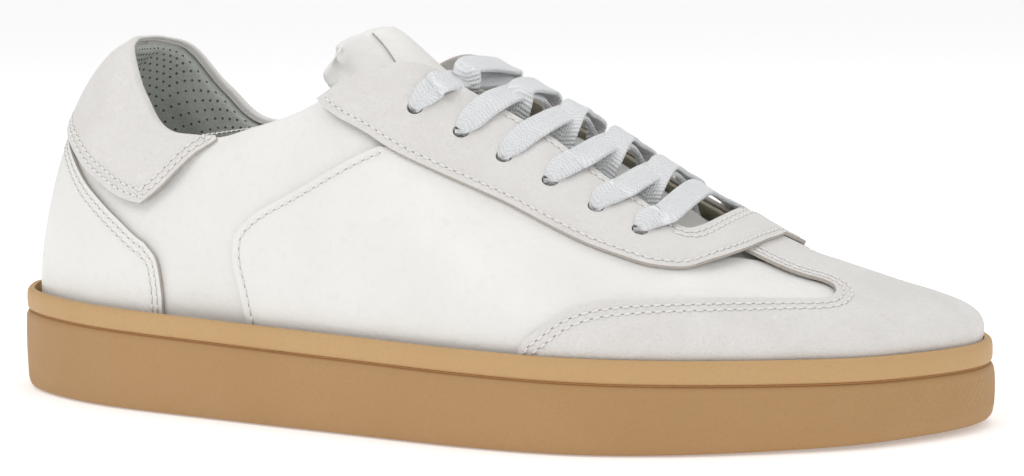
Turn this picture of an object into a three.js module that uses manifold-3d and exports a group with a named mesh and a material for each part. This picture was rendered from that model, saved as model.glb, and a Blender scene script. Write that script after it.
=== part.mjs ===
import * as THREE from 'three';
import Module from 'manifold-3d';

const wasm = await Module();
wasm.setup();

// Low-cut court shoe for the right foot.  Millimetres, toe towards +X, medial side +Y, up +Z.
// ---------------------------------------------------------------- overall sizes
const LENGTH = 300;            // heel to toe over the sole edge
const WIDTH = 117;             // widest outline, ball of the foot
const SOLE_HEEL = 30.5;        // sole edge height at the heel
const SOLE_TOE = 23.5;         // sole edge height at the toe
const UPPER_RISE = 76;         // heel collar above the sole edge
// ---------------------------------------------------------------- sole sizes
const BAND_HEIGHT = 6.2;       // foxing band
const BAND_THICK = 1.9;
const GROOVE = 0.5;            // open line between the band and the cup
const CUP_WALL = 5.2;
const CUP_FLOOR = 5;
const BOARD_THICK = 1.8;
const FOOTBED_THICK = 5.5;
const TOE_SPRING = 1.5;
// ---------------------------------------------------------------- upper sizes
const SKIN = 1.1;              // leather and suede thickness
const GAP = 0.45;              // clearance between neighbouring layers
const LINING = 1;
const FEATHER = 4.5;           // last edge inside the sole outline
const TUCK = 0.055;            // share of a rib that runs down behind the band
const EYELET_R = 2.2;
const LACE_WIDTH = 7.6;
const LACE_THICK = 1.2;
const TONGUE_FOAM = 3.6;
const COLLAR_ROLL = 8;         // half thickness of the padded collar

const LEVEL_C = [-0.2, -0.2 + SKIN];
const LEVEL_B = [LEVEL_C[0] - GAP - SKIN, LEVEL_C[0] - GAP];
const LEVEL_A = [LEVEL_B[0] - GAP - SKIN, LEVEL_B[0] - GAP];
const LEVEL_STIFF = [LEVEL_A[0] - GAP - 0.7, LEVEL_A[0] - GAP];
const LEVEL_LINING = [LEVEL_STIFF[0] - GAP - LINING, LEVEL_STIFF[0] - GAP];

const KX = LENGTH / 300;
const KY = WIDTH / 117;
const KZ = UPPER_RISE / 76;

// sole outline stations: x, lateral y, medial y
const OUTLINE = [
  [-150, 0, 0], [-147, -10, 12], [-138, -22.5, 25], [-120, -34, 35.5], [-95, -43, 39.5],
  [-55, -50, 38], [-10, -57, 36.5], [30, -62.5, 41], [60, -62, 49.5], [85, -54, 55],
  [108, -41, 55], [128, -25.5, 50], [141.5, -7, 39.5], [148, 7, 29.5], [150, 18.5, 18.5],
];
// top of each rib: collar crest for the first seven, instep ridge for the rest
const TOPS = [
  [-108, 0, 106.5], [-106.5, -9, 106], [-101.5, -18, 102.5], [-93, -25, 90], [-79, -29, 79.5],
  [-45, -29, 85.5], [-8, -19, 101], [28, 6, 88], [56, 10, 72], [79, 10.5, 58.5],
  [97, 11, 48.5], [110, 12, 44], [121, 14, 40.5], [128, 15.5, 38], [131, 16, 36.5],
];
// the medial side of the forefoot is cut fuller below and falls away sooner than the lateral side
const MEDIAL_FALL = [0, 0, 0, 0, 0, 0, 0, 4, 7.5, 7.5, 7.5, 6.5, 4, 1.5, 0];
const LEAN = [-1, -1, 0, 1, 2, 3, 4, 4, 4, 4, 3, 3, 3, 2, 2];
const RISE = [28, 28, 27, 25, 22, 22, 24, 20, 16, 13, 11, 10, 9, 8, 8];
const ROLL = [[17, 10], [17, 10], [15, 12], [10, 16], [9, 14], [9, 16], [12, 14]];
const CROWN = [[24, 90], [26, 90], [28, 88], [26, 80], [24, 66], [20, 48], [16, 25], [12, 0]];
// eyelet places on the lateral arm: rib, share of height
const EYELETS = [
  [8.353, 0.581], [7.852, 0.591], [7.357, 0.598], [6.915, 0.625], [6.554, 0.683], [6.2, 0.757],
];

const RIBS = 28;
const add = (a, b, k = 1) => [a[0] + b[0] * k, a[1] + b[1] * k, a[2] + b[2] * k];
const sub = (a, b) => [a[0] - b[0], a[1] - b[1], a[2] - b[2]];
const mul = (a, k) => [a[0] * k, a[1] * k, a[2] * k];
const mix = (a, b, t) => a.map((x, i) => x + (b[i] - x) * t);
const cross = (a, b) => [a[1] * b[2] - a[2] * b[1], a[2] * b[0] - a[0] * b[2], a[0] * b[1] - a[1] * b[0]];
const dot = (a, b) => a[0] * b[0] + a[1] * b[1] + a[2] * b[2];
const unit = (a) => mul(a, 1 / Math.hypot(...a));
const clamp = (x, a, b) => Math.min(b, Math.max(a, x));
const smooth = (x) => { const t = clamp(x, 0, 1); return t * t * (3 - 2 * t); };
const range = (n, a, b) => Array.from({ length: n }, (_, i) => a + (b - a) * i / (n - 1));

// uniform Catmull-Rom through rows of numbers, closed or open
function spline(rows, t, closed) {
  const n = rows.length;
  const i = closed ? Math.floor(t) : clamp(Math.floor(t), 0, n - 2);
  const f = t - i;
  const at = (k) => {
    if (closed) return rows[((k % n) + n) % n];
    if (k < 0) return rows[0].map((x, j) => 2 * x - rows[1][j]);
    if (k > n - 1) return rows[n - 1].map((x, j) => 2 * x - rows[n - 2][j]);
    return rows[k];
  };
  const [p0, p1, p2, p3] = [at(i - 1), at(i), at(i + 1), at(i + 2)];
  return p1.map((x, j) => 0.5 * (2 * x + (p2[j] - p0[j]) * f
    + (2 * p0[j] - 5 * x + 4 * p2[j] - p3[j]) * f * f + (3 * x - p0[j] - 3 * p2[j] + p3[j]) * f * f * f));
}
const along = (rows, t) => spline(rows, t * (rows.length - 1), false);

// ---------------------------------------------------------------- sole outline
const RING = [];
for (let k = 0; k < RIBS; k += 1) {
  const row = OUTLINE[k <= 14 ? k : RIBS - k];
  RING.push([row[0] * KX, row[k <= 14 ? 1 : 2] * KY]);
}
function outward(s) {
  const a = spline(RING, s - 0.02, true);
  const b = spline(RING, s + 0.02, true);
  const d = [b[0] - a[0], b[1] - a[1]];
  const l = Math.hypot(...d);
  return [d[1] / l, -d[0] / l, 0];
}
function edge(s, inset) {
  const p = spline(RING, s, true);
  const n = outward(s);
  return [p[0] - n[0] * inset, p[1] - n[1] * inset, 0];
}
const soleTop = (x) => SOLE_HEEL + (SOLE_TOE - SOLE_HEEL) * (x / KX + 150) / 300;
const spring = (x) => TOE_SPRING * clamp((x / KX - 60) / 90, 0, 1) ** 2;

// ---------------------------------------------------------------- upper surface
const CONTROL = [[], [], [], []];
for (let k = 0; k < RIBS; k += 1) {
  const i = k <= 14 ? k : RIBS - k;
  const side = k <= 14 ? -1 : 1;
  const n = outward(k);
  const foot = edge(k, FEATHER);
  foot[2] = soleTop(foot[0]);
  const lift = (z) => SOLE_HEEL + (z - SOLE_HEEL) * KZ;
  const tip = (row) => [row[0] * KX, row[1] * KY, lift(row[2])];
  const top = tip(TOPS[i]);
  if (k > 14 && i < 7) top[1] *= -1;
  let third = null;
  if (i < 7) {
    third = add(add(top, n, ROLL[i][0]), [0, 0, -ROLL[i][1] * KZ]);
  } else {
    const [length, turn] = CROWN[i - 7];
    const before = tip(TOPS[i === 14 ? 12 : Math.max(i - 1, 7)]);
    const ridge = unit(sub(tip(TOPS[Math.min(i + 1, 14)]), before));
    const a = THREE.MathUtils.degToRad(turn);
    third = add(add(top, [0, side, 0], length * KY * Math.sin(a)), ridge, length * Math.cos(a));
    if (side > 0) third[2] -= MEDIAL_FALL[i] * KZ;
  }
  CONTROL[0].push(foot);
  CONTROL[1].push(add(add(foot, n, LEAN[i]), [0, 0, RISE[i] * KZ]));
  CONTROL[2].push(third);
  CONTROL[3].push(top);
}
function bezier(a, b, c, d, t) {
  const k = 1 - t;
  const share = [k * k * k, 3 * k * k * t, 3 * k * t * t, t * t * t];
  return [0, 1, 2].map((i) => share[0] * a[i] + share[1] * b[i] + share[2] * c[i] + share[3] * d[i]);
}
function surface(s, v) {
  const [a, b, c, d] = CONTROL.map((row) => spline(row, s, true));
  if (v < 0) return add(a, sub(b, a), 3 * v);
  return bezier(a, b, c, d, v);
}
function rawNormal(s, v) {
  const u = Math.min(v, 0.985);
  const ds = sub(surface(s + 0.02, u), surface(s - 0.02, u));
  const dv = sub(surface(s, u + 0.01), surface(s, u - 0.01));
  return unit(cross(ds, dv));
}
function normal(s, v) {
  const n = rawNormal(s, v);
  const k = ((s % RIBS) + RIBS) % RIBS;
  if (k < 7 || k > RIBS - 7 || v < 0.86) return n;
  const t = clamp((v - 0.86) / 0.14, 0, 1) / 2;
  return unit(add(mul(n, 1 - t), rawNormal(RIBS - s, v), t));
}
// place on the upper: u counts ribs from heel to toe, w runs 0..1 up the lateral side, 1..2 down the medial
function place(u, w, level = 0) {
  const s = w <= 1 ? u : RIBS - u;
  const v = w <= 1 ? w : 2 - w;
  return add(surface(s, v), normal(s, v), level);
}
const placeNormal = (u, w) => (w <= 1 ? normal(u, w) : normal(RIBS - u, 2 - w));

// ---------------------------------------------------------------- mesh makers
function body(name, colour, points, faces, rough = 0.7) {
  const keys = new Map();
  const pos = [];
  const ids = points.map((p) => {
    const key = p.map((x) => Math.round(x * 1000)).join(',');
    if (!keys.has(key)) {
      keys.set(key, pos.length / 3);
      pos.push(...p);
    }
    return keys.get(key);
  });
  const index = [];
  for (const f of faces) {
    const [a, b, c] = f.map((i) => ids[i]);
    if (a !== b && b !== c && a !== c) index.push(a, b, c);
  }
  let volume = 0;
  for (let i = 0; i < index.length; i += 3) {
    const [a, b, c] = [0, 1, 2].map((k) => pos.slice(index[i + k] * 3, index[i + k] * 3 + 3));
    volume += dot(a, cross(b, c)) / 6;
  }
  if (volume < 0) {
    for (let i = 0; i < index.length; i += 3) {
      const keep = index[i];
      index[i] = index[i + 1];
      index[i + 1] = keep;
    }
  }
  const g = new THREE.BufferGeometry();
  g.setAttribute('position', new THREE.Float32BufferAttribute(pos, 3));
  g.setIndex(index);
  g.computeVertexNormals();
  const mesh = new THREE.Mesh(g, new THREE.MeshStandardMaterial({ color: colour, roughness: rough }));
  mesh.name = name;
  return mesh;
}
// closed skin over a grid: at(i, j) gives the lower and upper point, keep(i, j) tells which cells exist
function skin(name, colour, ni, nj, at, keep = () => true) {
  const points = [];
  for (let i = 0; i < ni; i += 1) {
    for (let j = 0; j < nj; j += 1) points.push(...at(i, j));
  }
  const id = (i, j, up) => 2 * (i * nj + j) + up;
  const key = (k) => points[k].map((x) => Math.round(x * 1000)).join(',');
  const faces = [];
  const rims = [];
  const quad = (a, b, c, d) => faces.push([a, b, c], [a, c, d]);
  const has = (i, j) => i >= 0 && j >= 0 && i < ni - 1 && j < nj - 1 && keep(i, j);
  for (let i = 0; i < ni - 1; i += 1) {
    for (let j = 0; j < nj - 1; j += 1) {
      if (has(i, j)) {
        quad(id(i, j, 1), id(i + 1, j, 1), id(i + 1, j + 1, 1), id(i, j + 1, 1));
        quad(id(i, j, 0), id(i, j + 1, 0), id(i + 1, j + 1, 0), id(i + 1, j, 0));
        if (!has(i, j - 1)) rims.push([i, j, i + 1, j]);
        if (!has(i + 1, j)) rims.push([i + 1, j, i + 1, j + 1]);
        if (!has(i, j + 1)) rims.push([i + 1, j + 1, i, j + 1]);
        if (!has(i - 1, j)) rims.push([i, j + 1, i, j]);
      }
    }
  }
  const seen = new Set(rims.map((r) => `${key(id(r[0], r[1], 1))}|${key(id(r[2], r[3], 1))}`));
  for (const r of rims) {
    const back = `${key(id(r[2], r[3], 1))}|${key(id(r[0], r[1], 1))}`;
    if (!seen.has(back)) quad(id(r[0], r[1], 0), id(r[2], r[3], 0), id(r[2], r[3], 1), id(r[0], r[1], 1));
  }
  return body(name, colour, points, faces);
}
// skin laid on the upper between two levels
function panel(name, colour, ni, nj, uw, level, keep) {
  return skin(name, colour, ni, nj, (i, j) => {
    const [u, w] = uw(i, j);
    const p = place(u, w);
    const n = placeNormal(u, w);
    const lift = level[2] ? level[2](u, w) : 0;
    return [add(p, n, level[0] + lift), add(p, n, level[1] + lift)];
  }, keep);
}
// patch between four edge curves in rib space
function coons(left, right, bottom, top) {
  return (a, b) => {
    const l = along(left, b);
    const r = along(right, b);
    const d = along(bottom, a);
    const t = along(top, a);
    const c = mix(mix(left[0], right[0], a), mix(left.at(-1), right.at(-1), a), b);
    return [0, 1].map((i) => (1 - a) * l[i] + a * r[i] + (1 - b) * d[i] + b * t[i] - c[i]);
  };
}
// rings joined one to the next; caps close the first and last, otherwise the last joins the first
function rings(name, colour, list, caps, rough) {
  const m = list[0].length;
  const points = list.flat();
  const faces = [];
  const quad = (a, b, c, d) => faces.push([a, b, c], [a, c, d]);
  const last = caps ? list.length - 1 : list.length;
  for (let r = 0; r < last; r += 1) {
    const q = (r + 1) % list.length;
    for (let k = 0; k < m; k += 1) {
      const l = (k + 1) % m;
      quad(r * m + k, r * m + l, q * m + l, q * m + k);
    }
  }
  if (caps) {
    for (const [r, flip] of [[0, true], [list.length - 1, false]]) {
      for (let k = 0; k < m / 2; k += 1) {
        const q = [k, k + 1, m - k - 1, (m - k) % m].map((x) => r * m + x);
        if (flip) q.reverse();
        quad(...q);
      }
    }
  }
  return body(name, colour, points, faces, rough);
}
const STEPS = 3;
const ringAt = (inset, z) => Array.from({ length: RIBS * STEPS }, (_, k) => {
  const p = edge(k / STEPS, inset);
  p[2] = z(p[0]);
  return p;
});

const parts = new THREE.Group();
parts.name = 'court_shoe';
const GUM = 0xc9a06f;
const WHITE = 0xeceae6;
const SUEDE = 0xdedad5;
const CLOTH = 0xc9cbc6;
const FOAM = 0xe4dfd2;

// ---------------------------------------------------------------- sole
const cupTop = (x) => soleTop(x) - BAND_HEIGHT - GROOVE;
parts.add(rings('outsole_cup', GUM, [
  ringAt(2.6, (x) => spring(x)),
  ringAt(1, (x) => spring(x) + 1.2),
  ringAt(0.3, (x) => spring(x) + 3.6),
  ringAt(0, (x) => 0.5 * cupTop(x)),
  ringAt(0.5, (x) => cupTop(x) - 1.2),
  ringAt(1.3, cupTop),
  ringAt(CUP_WALL, cupTop),
  ringAt(CUP_WALL, () => CUP_FLOOR),
], true));
parts.add(rings('foxing_band', GUM, [
  ringAt(1.2, (x) => cupTop(x) + GROOVE),
  ringAt(0.9, (x) => soleTop(x) - 3),
  ringAt(1.5, (x) => soleTop(x)),
  ringAt(1 + BAND_THICK, (x) => soleTop(x)),
  ringAt(1 + BAND_THICK, (x) => cupTop(x) + GROOVE),
], false));
parts.add(rings('midsole_foam', FOAM, [
  ringAt(CUP_WALL + GAP, () => CUP_FLOOR + GAP),
  ringAt(CUP_WALL + GAP, (x) => cupTop(x) - 0.6),
], true));
parts.add(rings('insole_board', 0x9c8a70, [
  ringAt(4.4, (x) => cupTop(x) + GAP),
  ringAt(4.4, (x) => cupTop(x) + GAP + BOARD_THICK - 0.8),
], true));
const bedBase = (x) => cupTop(x) + GAP + BOARD_THICK;
const FOOTBED_SIDE = 11.8 * Math.max(KX, 1) + SKIN + LINING;
parts.add(rings('footbed', 0xd8d9d4, [
  ringAt(FOOTBED_SIDE, bedBase),
  ringAt(FOOTBED_SIDE + 0.2, (x) => bedBase(x) + 1.5),
  ringAt(FOOTBED_SIDE + 0.8, (x) => bedBase(x) + FOOTBED_THICK),
  ringAt(FOOTBED_SIDE + 2.4, (x) => bedBase(x) + FOOTBED_THICK + 0.2),
  ringAt(FOOTBED_SIDE + 9, (x) => bedBase(x) + FOOTBED_THICK - 1),
], true));

// ---------------------------------------------------------------- upper patterns, rib space
const SEAM = [[5.2, -TUCK], [5.14, 0.12], [5.04, 0.28], [5.02, 0.4], [5.16, 0.49], [5.5, 0.55],
  [6.02, 0.63]];
const GUARD = [[7.42, -0.05], [7.507, 0.044], [7.653, 0.104], [7.878, 0.182], [8.15, 0.239], [8.437, 0.277],
  [8.735, 0.31], [9.234, 0.362], [10.034, 0.451], [10.42, 0.486], [10.59, 0.505], [10.72, 0.535],
  [10.794, 0.6]];
const TBAR = [[9.3, 0.737], [9.519, 0.728], [9.893, 0.718], [10.347, 0.706], [10.573, 0.698], [10.745, 0.66],
  [10.794, 0.604]];
const STAY_OUT = [[5.36, 0.965], [5.5, 0.858], [5.72, 0.744], [6.08, 0.621], [6.42, 0.555], [6.834, 0.507],
  [7.324, 0.473], [7.851, 0.459], [8.287, 0.456], [8.624, 0.462], [8.92, 0.492], [9.132, 0.54],
  [9.32, 0.61], [9.516, 0.723], [9.644, 0.846], [9.72, 0.93], [9.75, 1]];
const STAY_IN = [[5.5, 0.983], [5.82, 0.983], [6.06, 0.971], [6.257, 0.936], [6.434, 0.87], [6.688, 0.815],
  [7.026, 0.764], [7.409, 0.731], [7.791, 0.717], [8.131, 0.706], [8.425, 0.693], [8.643, 0.682],
  [8.8, 0.692], [8.907, 0.746], [8.98, 0.823], [9.03, 0.91], [9.05, 1]];

// value of a curve at a given first coordinate
function reading(rows, x) {
  for (let k = 1; k < rows.length; k += 1) {
    if (x <= rows[k][0]) {
      const t = (x - rows[k - 1][0]) / (rows[k][0] - rows[k - 1][0]);
      const a = rows[Math.max(k - 2, 0)][1];
      const [b, c] = [rows[k - 1][1], rows[k][1]];
      const d = rows[Math.min(k + 1, rows.length - 1)][1];
      const cubic = spline([[a], [b], [c], [d]], 1 + clamp(t, 0, 1), false)[0];
      return clamp(cubic, Math.min(b, c), Math.max(b, c));
    }
  }
  return rows.at(-1)[1];
}
const flip = (w, medial) => (medial ? 2 - w : w);

for (const [sideName, medial] of [['lateral', false], ['medial', true]]) {
  // rear quarter, runs under the front quarter and the eyestay
  const rear = coons(
    [[0.06, -TUCK], [0.06, 0.45], [0.06, 0.91]],
    [[5.32, -TUCK], [5.26, 0.12], [5.16, 0.28], [5.14, 0.4], [5.3, 0.48], [5.66, 0.55], [6.04, 0.64],
      [6.0, 0.73], [5.86, 0.84], [5.72, 0.95]],
    [[0.06, -TUCK], [2.8, -TUCK], [5.32, -TUCK]],
    [[0.06, 0.91], [1.5, 0.91], [3, 0.91], [4.4, 0.945], [5.72, 0.95]],
  );
  parts.add(panel(`rear_quarter_${sideName}`, WHITE, 15, 10, (i, j) => {
    const [u, w] = rear(i / 14, j / 9);
    return [u, flip(w, medial)];
  }, [LEVEL_A[0] - 0.08, LEVEL_A[1] - 0.08]));
  // front quarter, carries the lobe beside the toe
  const front = coons(
    SEAM,
    [[11.3, -TUCK], [11.35, 0.2], [11.3, 0.4], [11.05, 0.68]],
    [[5.2, -TUCK], [7, -TUCK], [9, -TUCK], [11.3, -TUCK]],
    [[6.02, 0.63], [6.5, 0.588], [7.2, 0.53], [7.9, 0.51], [8.6, 0.515], [9, 0.565], [9.4, 0.68],
      [10, 0.755], [11.05, 0.68]],
  );
  parts.add(panel(`front_quarter_${sideName}`, WHITE, 17, 8, (i, j) => {
    const [u, w] = front(i / 16, j / 7);
    return [u, flip(w, medial)];
  }, LEVEL_B));
}

// heel cover and suede collar patch cross the back seam
const heelSide = (m) => [[4.44 * m, -TUCK], [4.44 * m, 0.1], [4.36 * m, 0.25], [4.2 * m, 0.335]];
const cover = coons(
  heelSide(-1),
  heelSide(1),
  [[-4.44, -TUCK], [-2.2, -TUCK], [0, -TUCK], [2.2, -TUCK], [4.44, -TUCK]],
  [[-4.2, 0.335], [-3.7, 0.44], [-2.9, 0.485], [-1.5, 0.535], [0, 0.56], [1.5, 0.535], [2.9, 0.485],
    [3.7, 0.44], [4.2, 0.335]],
);
const wrap = (s, v) => (s < 0 ? [-s, 2 - v] : [s, v]);
parts.add(panel('heel_cover', WHITE, 21, 6, (i, j) => wrap(...cover(i / 20, j / 5)), LEVEL_B));
const PATCH_SIDE = [[4.02, 0.55], [4.15, 0.65], [4.26, 0.776], [4.34, 0.88], [4.44, 0.96]];
const patchSide = (m) => PATCH_SIDE.map(([u, w]) => [u * m, w]);
const patch = coons(
  patchSide(-1),
  patchSide(1),
  [[-4.02, 0.55], [-3.3, 0.549], [-2.5, 0.546], [-1.2, 0.563], [0, 0.575], [1.2, 0.563], [2.5, 0.546],
    [3.3, 0.549], [4.02, 0.55]],
  [[-4.44, 0.96], [-3, 0.97], [-1.5, 0.975], [0, 0.975], [1.5, 0.975], [3, 0.97], [4.44, 0.96]],
);
parts.add(panel('collar_patch', SUEDE, 21, 6, (i, j) => wrap(...patch(i / 20, j / 5)), LEVEL_C));
parts.add(panel('heel_counter', 0xb9a88a, 19, 6, (i, j) => {
  const s = -3.7 + 7.4 * i / 18;
  return wrap(s, -0.03 + (0.5 - 0.02 * Math.abs(s)) * j / 5);
}, LEVEL_STIFF));

// vamp, toe stiffener and vamp lining run over the toe from side to side
const domeRow = (i) => 9.35 + 4.65 * (i / 8) ** 0.85;
const domeCol = (j) => -0.04 + 2.08 * j / 14;
const VAMP_LEVEL = LEVEL_A.map((x) => x - 0.1);
parts.add(panel('vamp', WHITE, 9, 15, (i, j) => [domeRow(i), domeCol(j)], VAMP_LEVEL));
const atTip = (u, w) => smooth((u - 12.4) / 0.8) * smooth((0.6 - Math.abs(w - 1)) / 0.4);
parts.add(panel('toe_puff', 0xb9a88a, 6, 15, (i, j) => [domeRow(i + 3), domeCol(j)], [
  LEVEL_STIFF[0] + 0.1, LEVEL_STIFF[1] - 0.05, (u, w) => -0.15 * atTip(u, w)]));
parts.add(panel('vamp_lining', CLOTH, 9, 15, (i, j) => [domeRow(i), 0.035 + 1.93 * j / 14], [
  ...LEVEL_LINING, (u, w) => -0.5 * atTip(u, w)]));

// toe guard: two wings, a toe cap and a bar that reaches up to the eyestay
const guardU = [7.42, 7.55, 7.75, 8.05, 8.4, 8.8, 9.3, 9.7, 10.1, 10.4, 10.58, 10.69, 10.765, 10.794,
  11, 11.35, 11.8, 12.3, 12.8, 13.3, 13.7, 14];
const TIP = 13;
const BAR = 6;
const WING = 3;
const MID = 3;
const guardCols = 2 * (WING + MID) + 2;
parts.add(panel('toe_guard', SUEDE, guardU.length, guardCols + 1, (i, j) => {
  const u = guardU[i];
  const k = j <= guardCols / 2 ? j : guardCols - j;
  const past = Math.max(0, u - 10.794);
  let low = reading(GUARD, u);
  let high = u < 9.3 ? 0.737 : reading(TBAR, u);
  if (i >= TIP) {
    low = 0.602 - 0.012 - 0.04 * past;
    high = 0.602 + 0.012 + 0.03 * past;
  }
  const foot = -TUCK - 0.005;
  const w = k <= WING ? foot + (low - foot) * k / WING : high + (1 - high) * (k - WING - 1) / MID;
  return [u, j <= guardCols / 2 ? w : 2 - w];
}, [LEVEL_C[0] + 0.15, LEVEL_C[1] + 0.15], (i, j) => {
  const k = j < guardCols / 2 ? j : guardCols - 1 - j;
  if (i < BAR) return k < WING;
  if (i < TIP) return k !== WING;
  return true;
}));

// eyestay: one piece of suede round the throat, lifted over the bar of the toe guard
const stayLift = (u) => (SKIN + GAP) * smooth((u - 8.95) / 0.3);
const stayN = 41;
const stayCurve = (rows, i) => {
  const t = i / (stayN - 1) * 2;
  const [u, w] = along(rows, t <= 1 ? t : 2 - t);
  return [u, t <= 1 ? w : 2 - w];
};
const EYELET_LIST = [];
for (const medial of [false, true]) {
  for (const [u, w] of EYELETS) {
    EYELET_LIST.push([u, flip(w, medial)]);
  }
}
function toManifold(mesh) {
  const g = mesh.geometry;
  return new wasm.Manifold(new wasm.Mesh({
    numProp: 3,
    vertProperties: new Float32Array(g.attributes.position.array),
    triVerts: new Uint32Array(g.index.array),
  }));
}
function pierce(mesh, radius) {
  let solid = toManifold(mesh);
  for (const [u, w] of EYELET_LIST) {
    const g = new THREE.CylinderGeometry(radius, radius, 10, 10).toNonIndexed();
    g.applyQuaternion(new THREE.Quaternion().setFromUnitVectors(
      new THREE.Vector3(0, 1, 0),
      new THREE.Vector3(...placeNormal(u, w)),
    ));
    g.translate(...place(u, w, -2));
    const pos = g.attributes.position;
    const points = Array.from({ length: pos.count }, (_, k) => [pos.getX(k), pos.getY(k), pos.getZ(k)]);
    const faces = Array.from({ length: pos.count / 3 }, (_, k) => [3 * k, 3 * k + 1, 3 * k + 2]);
    solid = solid.subtract(toManifold(body('cutter', 0, points, faces)));
  }
  const out = solid.getMesh();
  const points = [];
  for (let k = 0; k < out.vertProperties.length; k += out.numProp) {
    points.push(Array.from(out.vertProperties.slice(k, k + 3)));
  }
  const faces = [];
  for (let k = 0; k < out.triVerts.length; k += 3) faces.push(Array.from(out.triVerts.slice(k, k + 3)));
  return body(mesh.name, mesh.material.color.getHex(), points, faces);
}
parts.add(pierce(panel('eyestay', SUEDE, stayN, 5, (i, j) => {
  return mix(stayCurve(STAY_OUT, i), stayCurve(STAY_IN, i), j / 4);
}, [...LEVEL_C, stayLift]), EYELET_R));

// facing strips under the eyestay and the quarter linings, both pierced
for (const [sideName, medial] of [['lateral', false], ['medial', true]]) {
  const facing = coons(
    [[6.2, 0.66], [6.22, 0.78], [6.3, 0.9]],
    [[8.58, 0.53], [8.62, 0.6], [8.64, 0.668]],
    [[6.2, 0.66], [6.55, 0.614], [7.2, 0.56], [7.9, 0.54], [8.58, 0.53]],
    [[6.3, 0.9], [6.5, 0.845], [7.05, 0.752], [7.85, 0.706], [8.64, 0.668]],
  );
  parts.add(pierce(panel(`facing_${sideName}`, 0xf0eee9, 11, 3, (i, j) => {
    const [u, w] = facing(i / 10, j / 2);
    return [u, flip(w, medial)];
  }, LEVEL_B), EYELET_R + 1.2));
  const side = coons(
    [[5.55, -0.03], [5.55, 0.45], [5.75, 0.9]],
    [[9.2, -0.03], [9.2, 0.3], [9.2, 0.63]],
    [[5.55, -0.03], [7.4, -0.03], [9.2, -0.03]],
    [[5.75, 0.9], [6.2, 0.84], [6.5, 0.775], [7.05, 0.71], [7.85, 0.685], [8.7, 0.645], [9.2, 0.63]],
  );
  parts.add(pierce(panel(`quarter_lining_${sideName}`, CLOTH, 12, 6, (i, j) => {
    const [u, w] = side(i / 11, j / 5);
    return [u, flip(w, medial)];
  }, LEVEL_LINING), EYELET_R + 2.3));
}

// ---------------------------------------------------------------- padded collar
const COLLAR_END = 5.1;
const ROOT_V = 0.4;
function collarCurve(s, q) {
  const k = s < 0 ? RIBS + s : s;
  const a = add(surface(k, 1), normal(k, 1), -2.3 * smooth((Math.abs(s) - 4.1) / 0.4));
  const b = add(surface(k, ROOT_V), normal(k, ROOT_V), LEVEL_LINING[0]);
  const inward = mul(outward(k), -1);
  const fade = 1 - 0.1 * smooth((Math.abs(s) - 3) / 2.4);
  const a1 = add(add(a, inward, COLLAR_ROLL * fade), [0, 0, 1.5]);
  const a2 = add(add(b, inward, 9 * fade), [0, 0, 0.55 * (a[2] - b[2])]);
  return bezier(a, a1, a2, b, q);
}
function liningPoint(s, q) {
  if (q <= 1) return collarCurve(s, q);
  const k = s < 0 ? RIBS + s : s;
  const v = ROOT_V * (2 - q) - 0.03 * (q - 1);
  return add(surface(k, v), normal(k, v), LEVEL_LINING[0]);
}
function liningNormal(s, q) {
  const ds = sub(liningPoint(s + 0.02, q), liningPoint(s - 0.02, q));
  const dq = sub(liningPoint(s, q + 0.02), liningPoint(s, q - 0.02));
  return unit(cross(dq, ds));
}
const liningRows = [(SKIN + 0.4) / (3 * COLLAR_ROLL), 0.16, 0.3, 0.46, 0.64, 0.82, 1, 1.35, 1.7, 2];
parts.add(skin('heel_lining', CLOTH, 23, liningRows.length, (i, j) => {
  const s = -COLLAR_END + 2 * COLLAR_END * i / 22;
  const p = liningPoint(s, liningRows[j]);
  return [p, add(p, liningNormal(s, liningRows[j]), LINING)];
}));
const foamN = 19;
const foamRing = (s) => {
  const k = s < 0 ? RIBS + s : s;
  const list = [];
  const deep = LEVEL_A[0] - GAP - 0.2;
  for (const v of [0.58, 0.7, 0.8, 0.88, 0.94]) list.push(add(surface(k, v), normal(k, v), deep));
  for (const q of [0.2, 0.34, 0.48, 0.62, 0.74]) {
    list.push(add(liningPoint(s, q), liningNormal(s, q), LINING + GAP));
  }
  return list;
};
const foamPoints = [];
const foamFaces = [];
for (let i = 0; i < foamN; i += 1) foamPoints.push(...foamRing(-4.7 + 9.4 * i / (foamN - 1)));
for (let i = 0; i < foamN - 1; i += 1) {
  for (let k = 0; k < 10; k += 1) {
    const l = (k + 1) % 10;
    const [a, b] = [i * 10 + k, i * 10 + l];
    foamFaces.push([a, b, b + 10], [a, b + 10, a + 10]);
  }
}
for (const base of [0, (foamN - 1) * 10]) {
  for (let k = 0; k < 4; k += 1) {
    const q = [k, k + 1, 8 - k, 9 - k].map((x) => x + base);
    if (base) q.reverse();
    foamFaces.push([q[2], q[1], q[0]], [q[3], q[2], q[0]]);
  }
}
parts.add(body('collar_foam', FOAM, foamPoints, foamFaces));

// ---------------------------------------------------------------- tongue
const DEEP = LEVEL_LINING[0] - 3.4;
const tongueRows = [];
for (const [u, spread] of [[9.75, 0.2], [9.2, 0.3], [8.6, 0.34], [7.9, 0.34], [7.15, 0.32]]) {
  tongueRows.push([-1, -0.5, 0, 0.5, 1].map((q) => place(u, 1 + q * spread, DEEP)));
}
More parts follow.
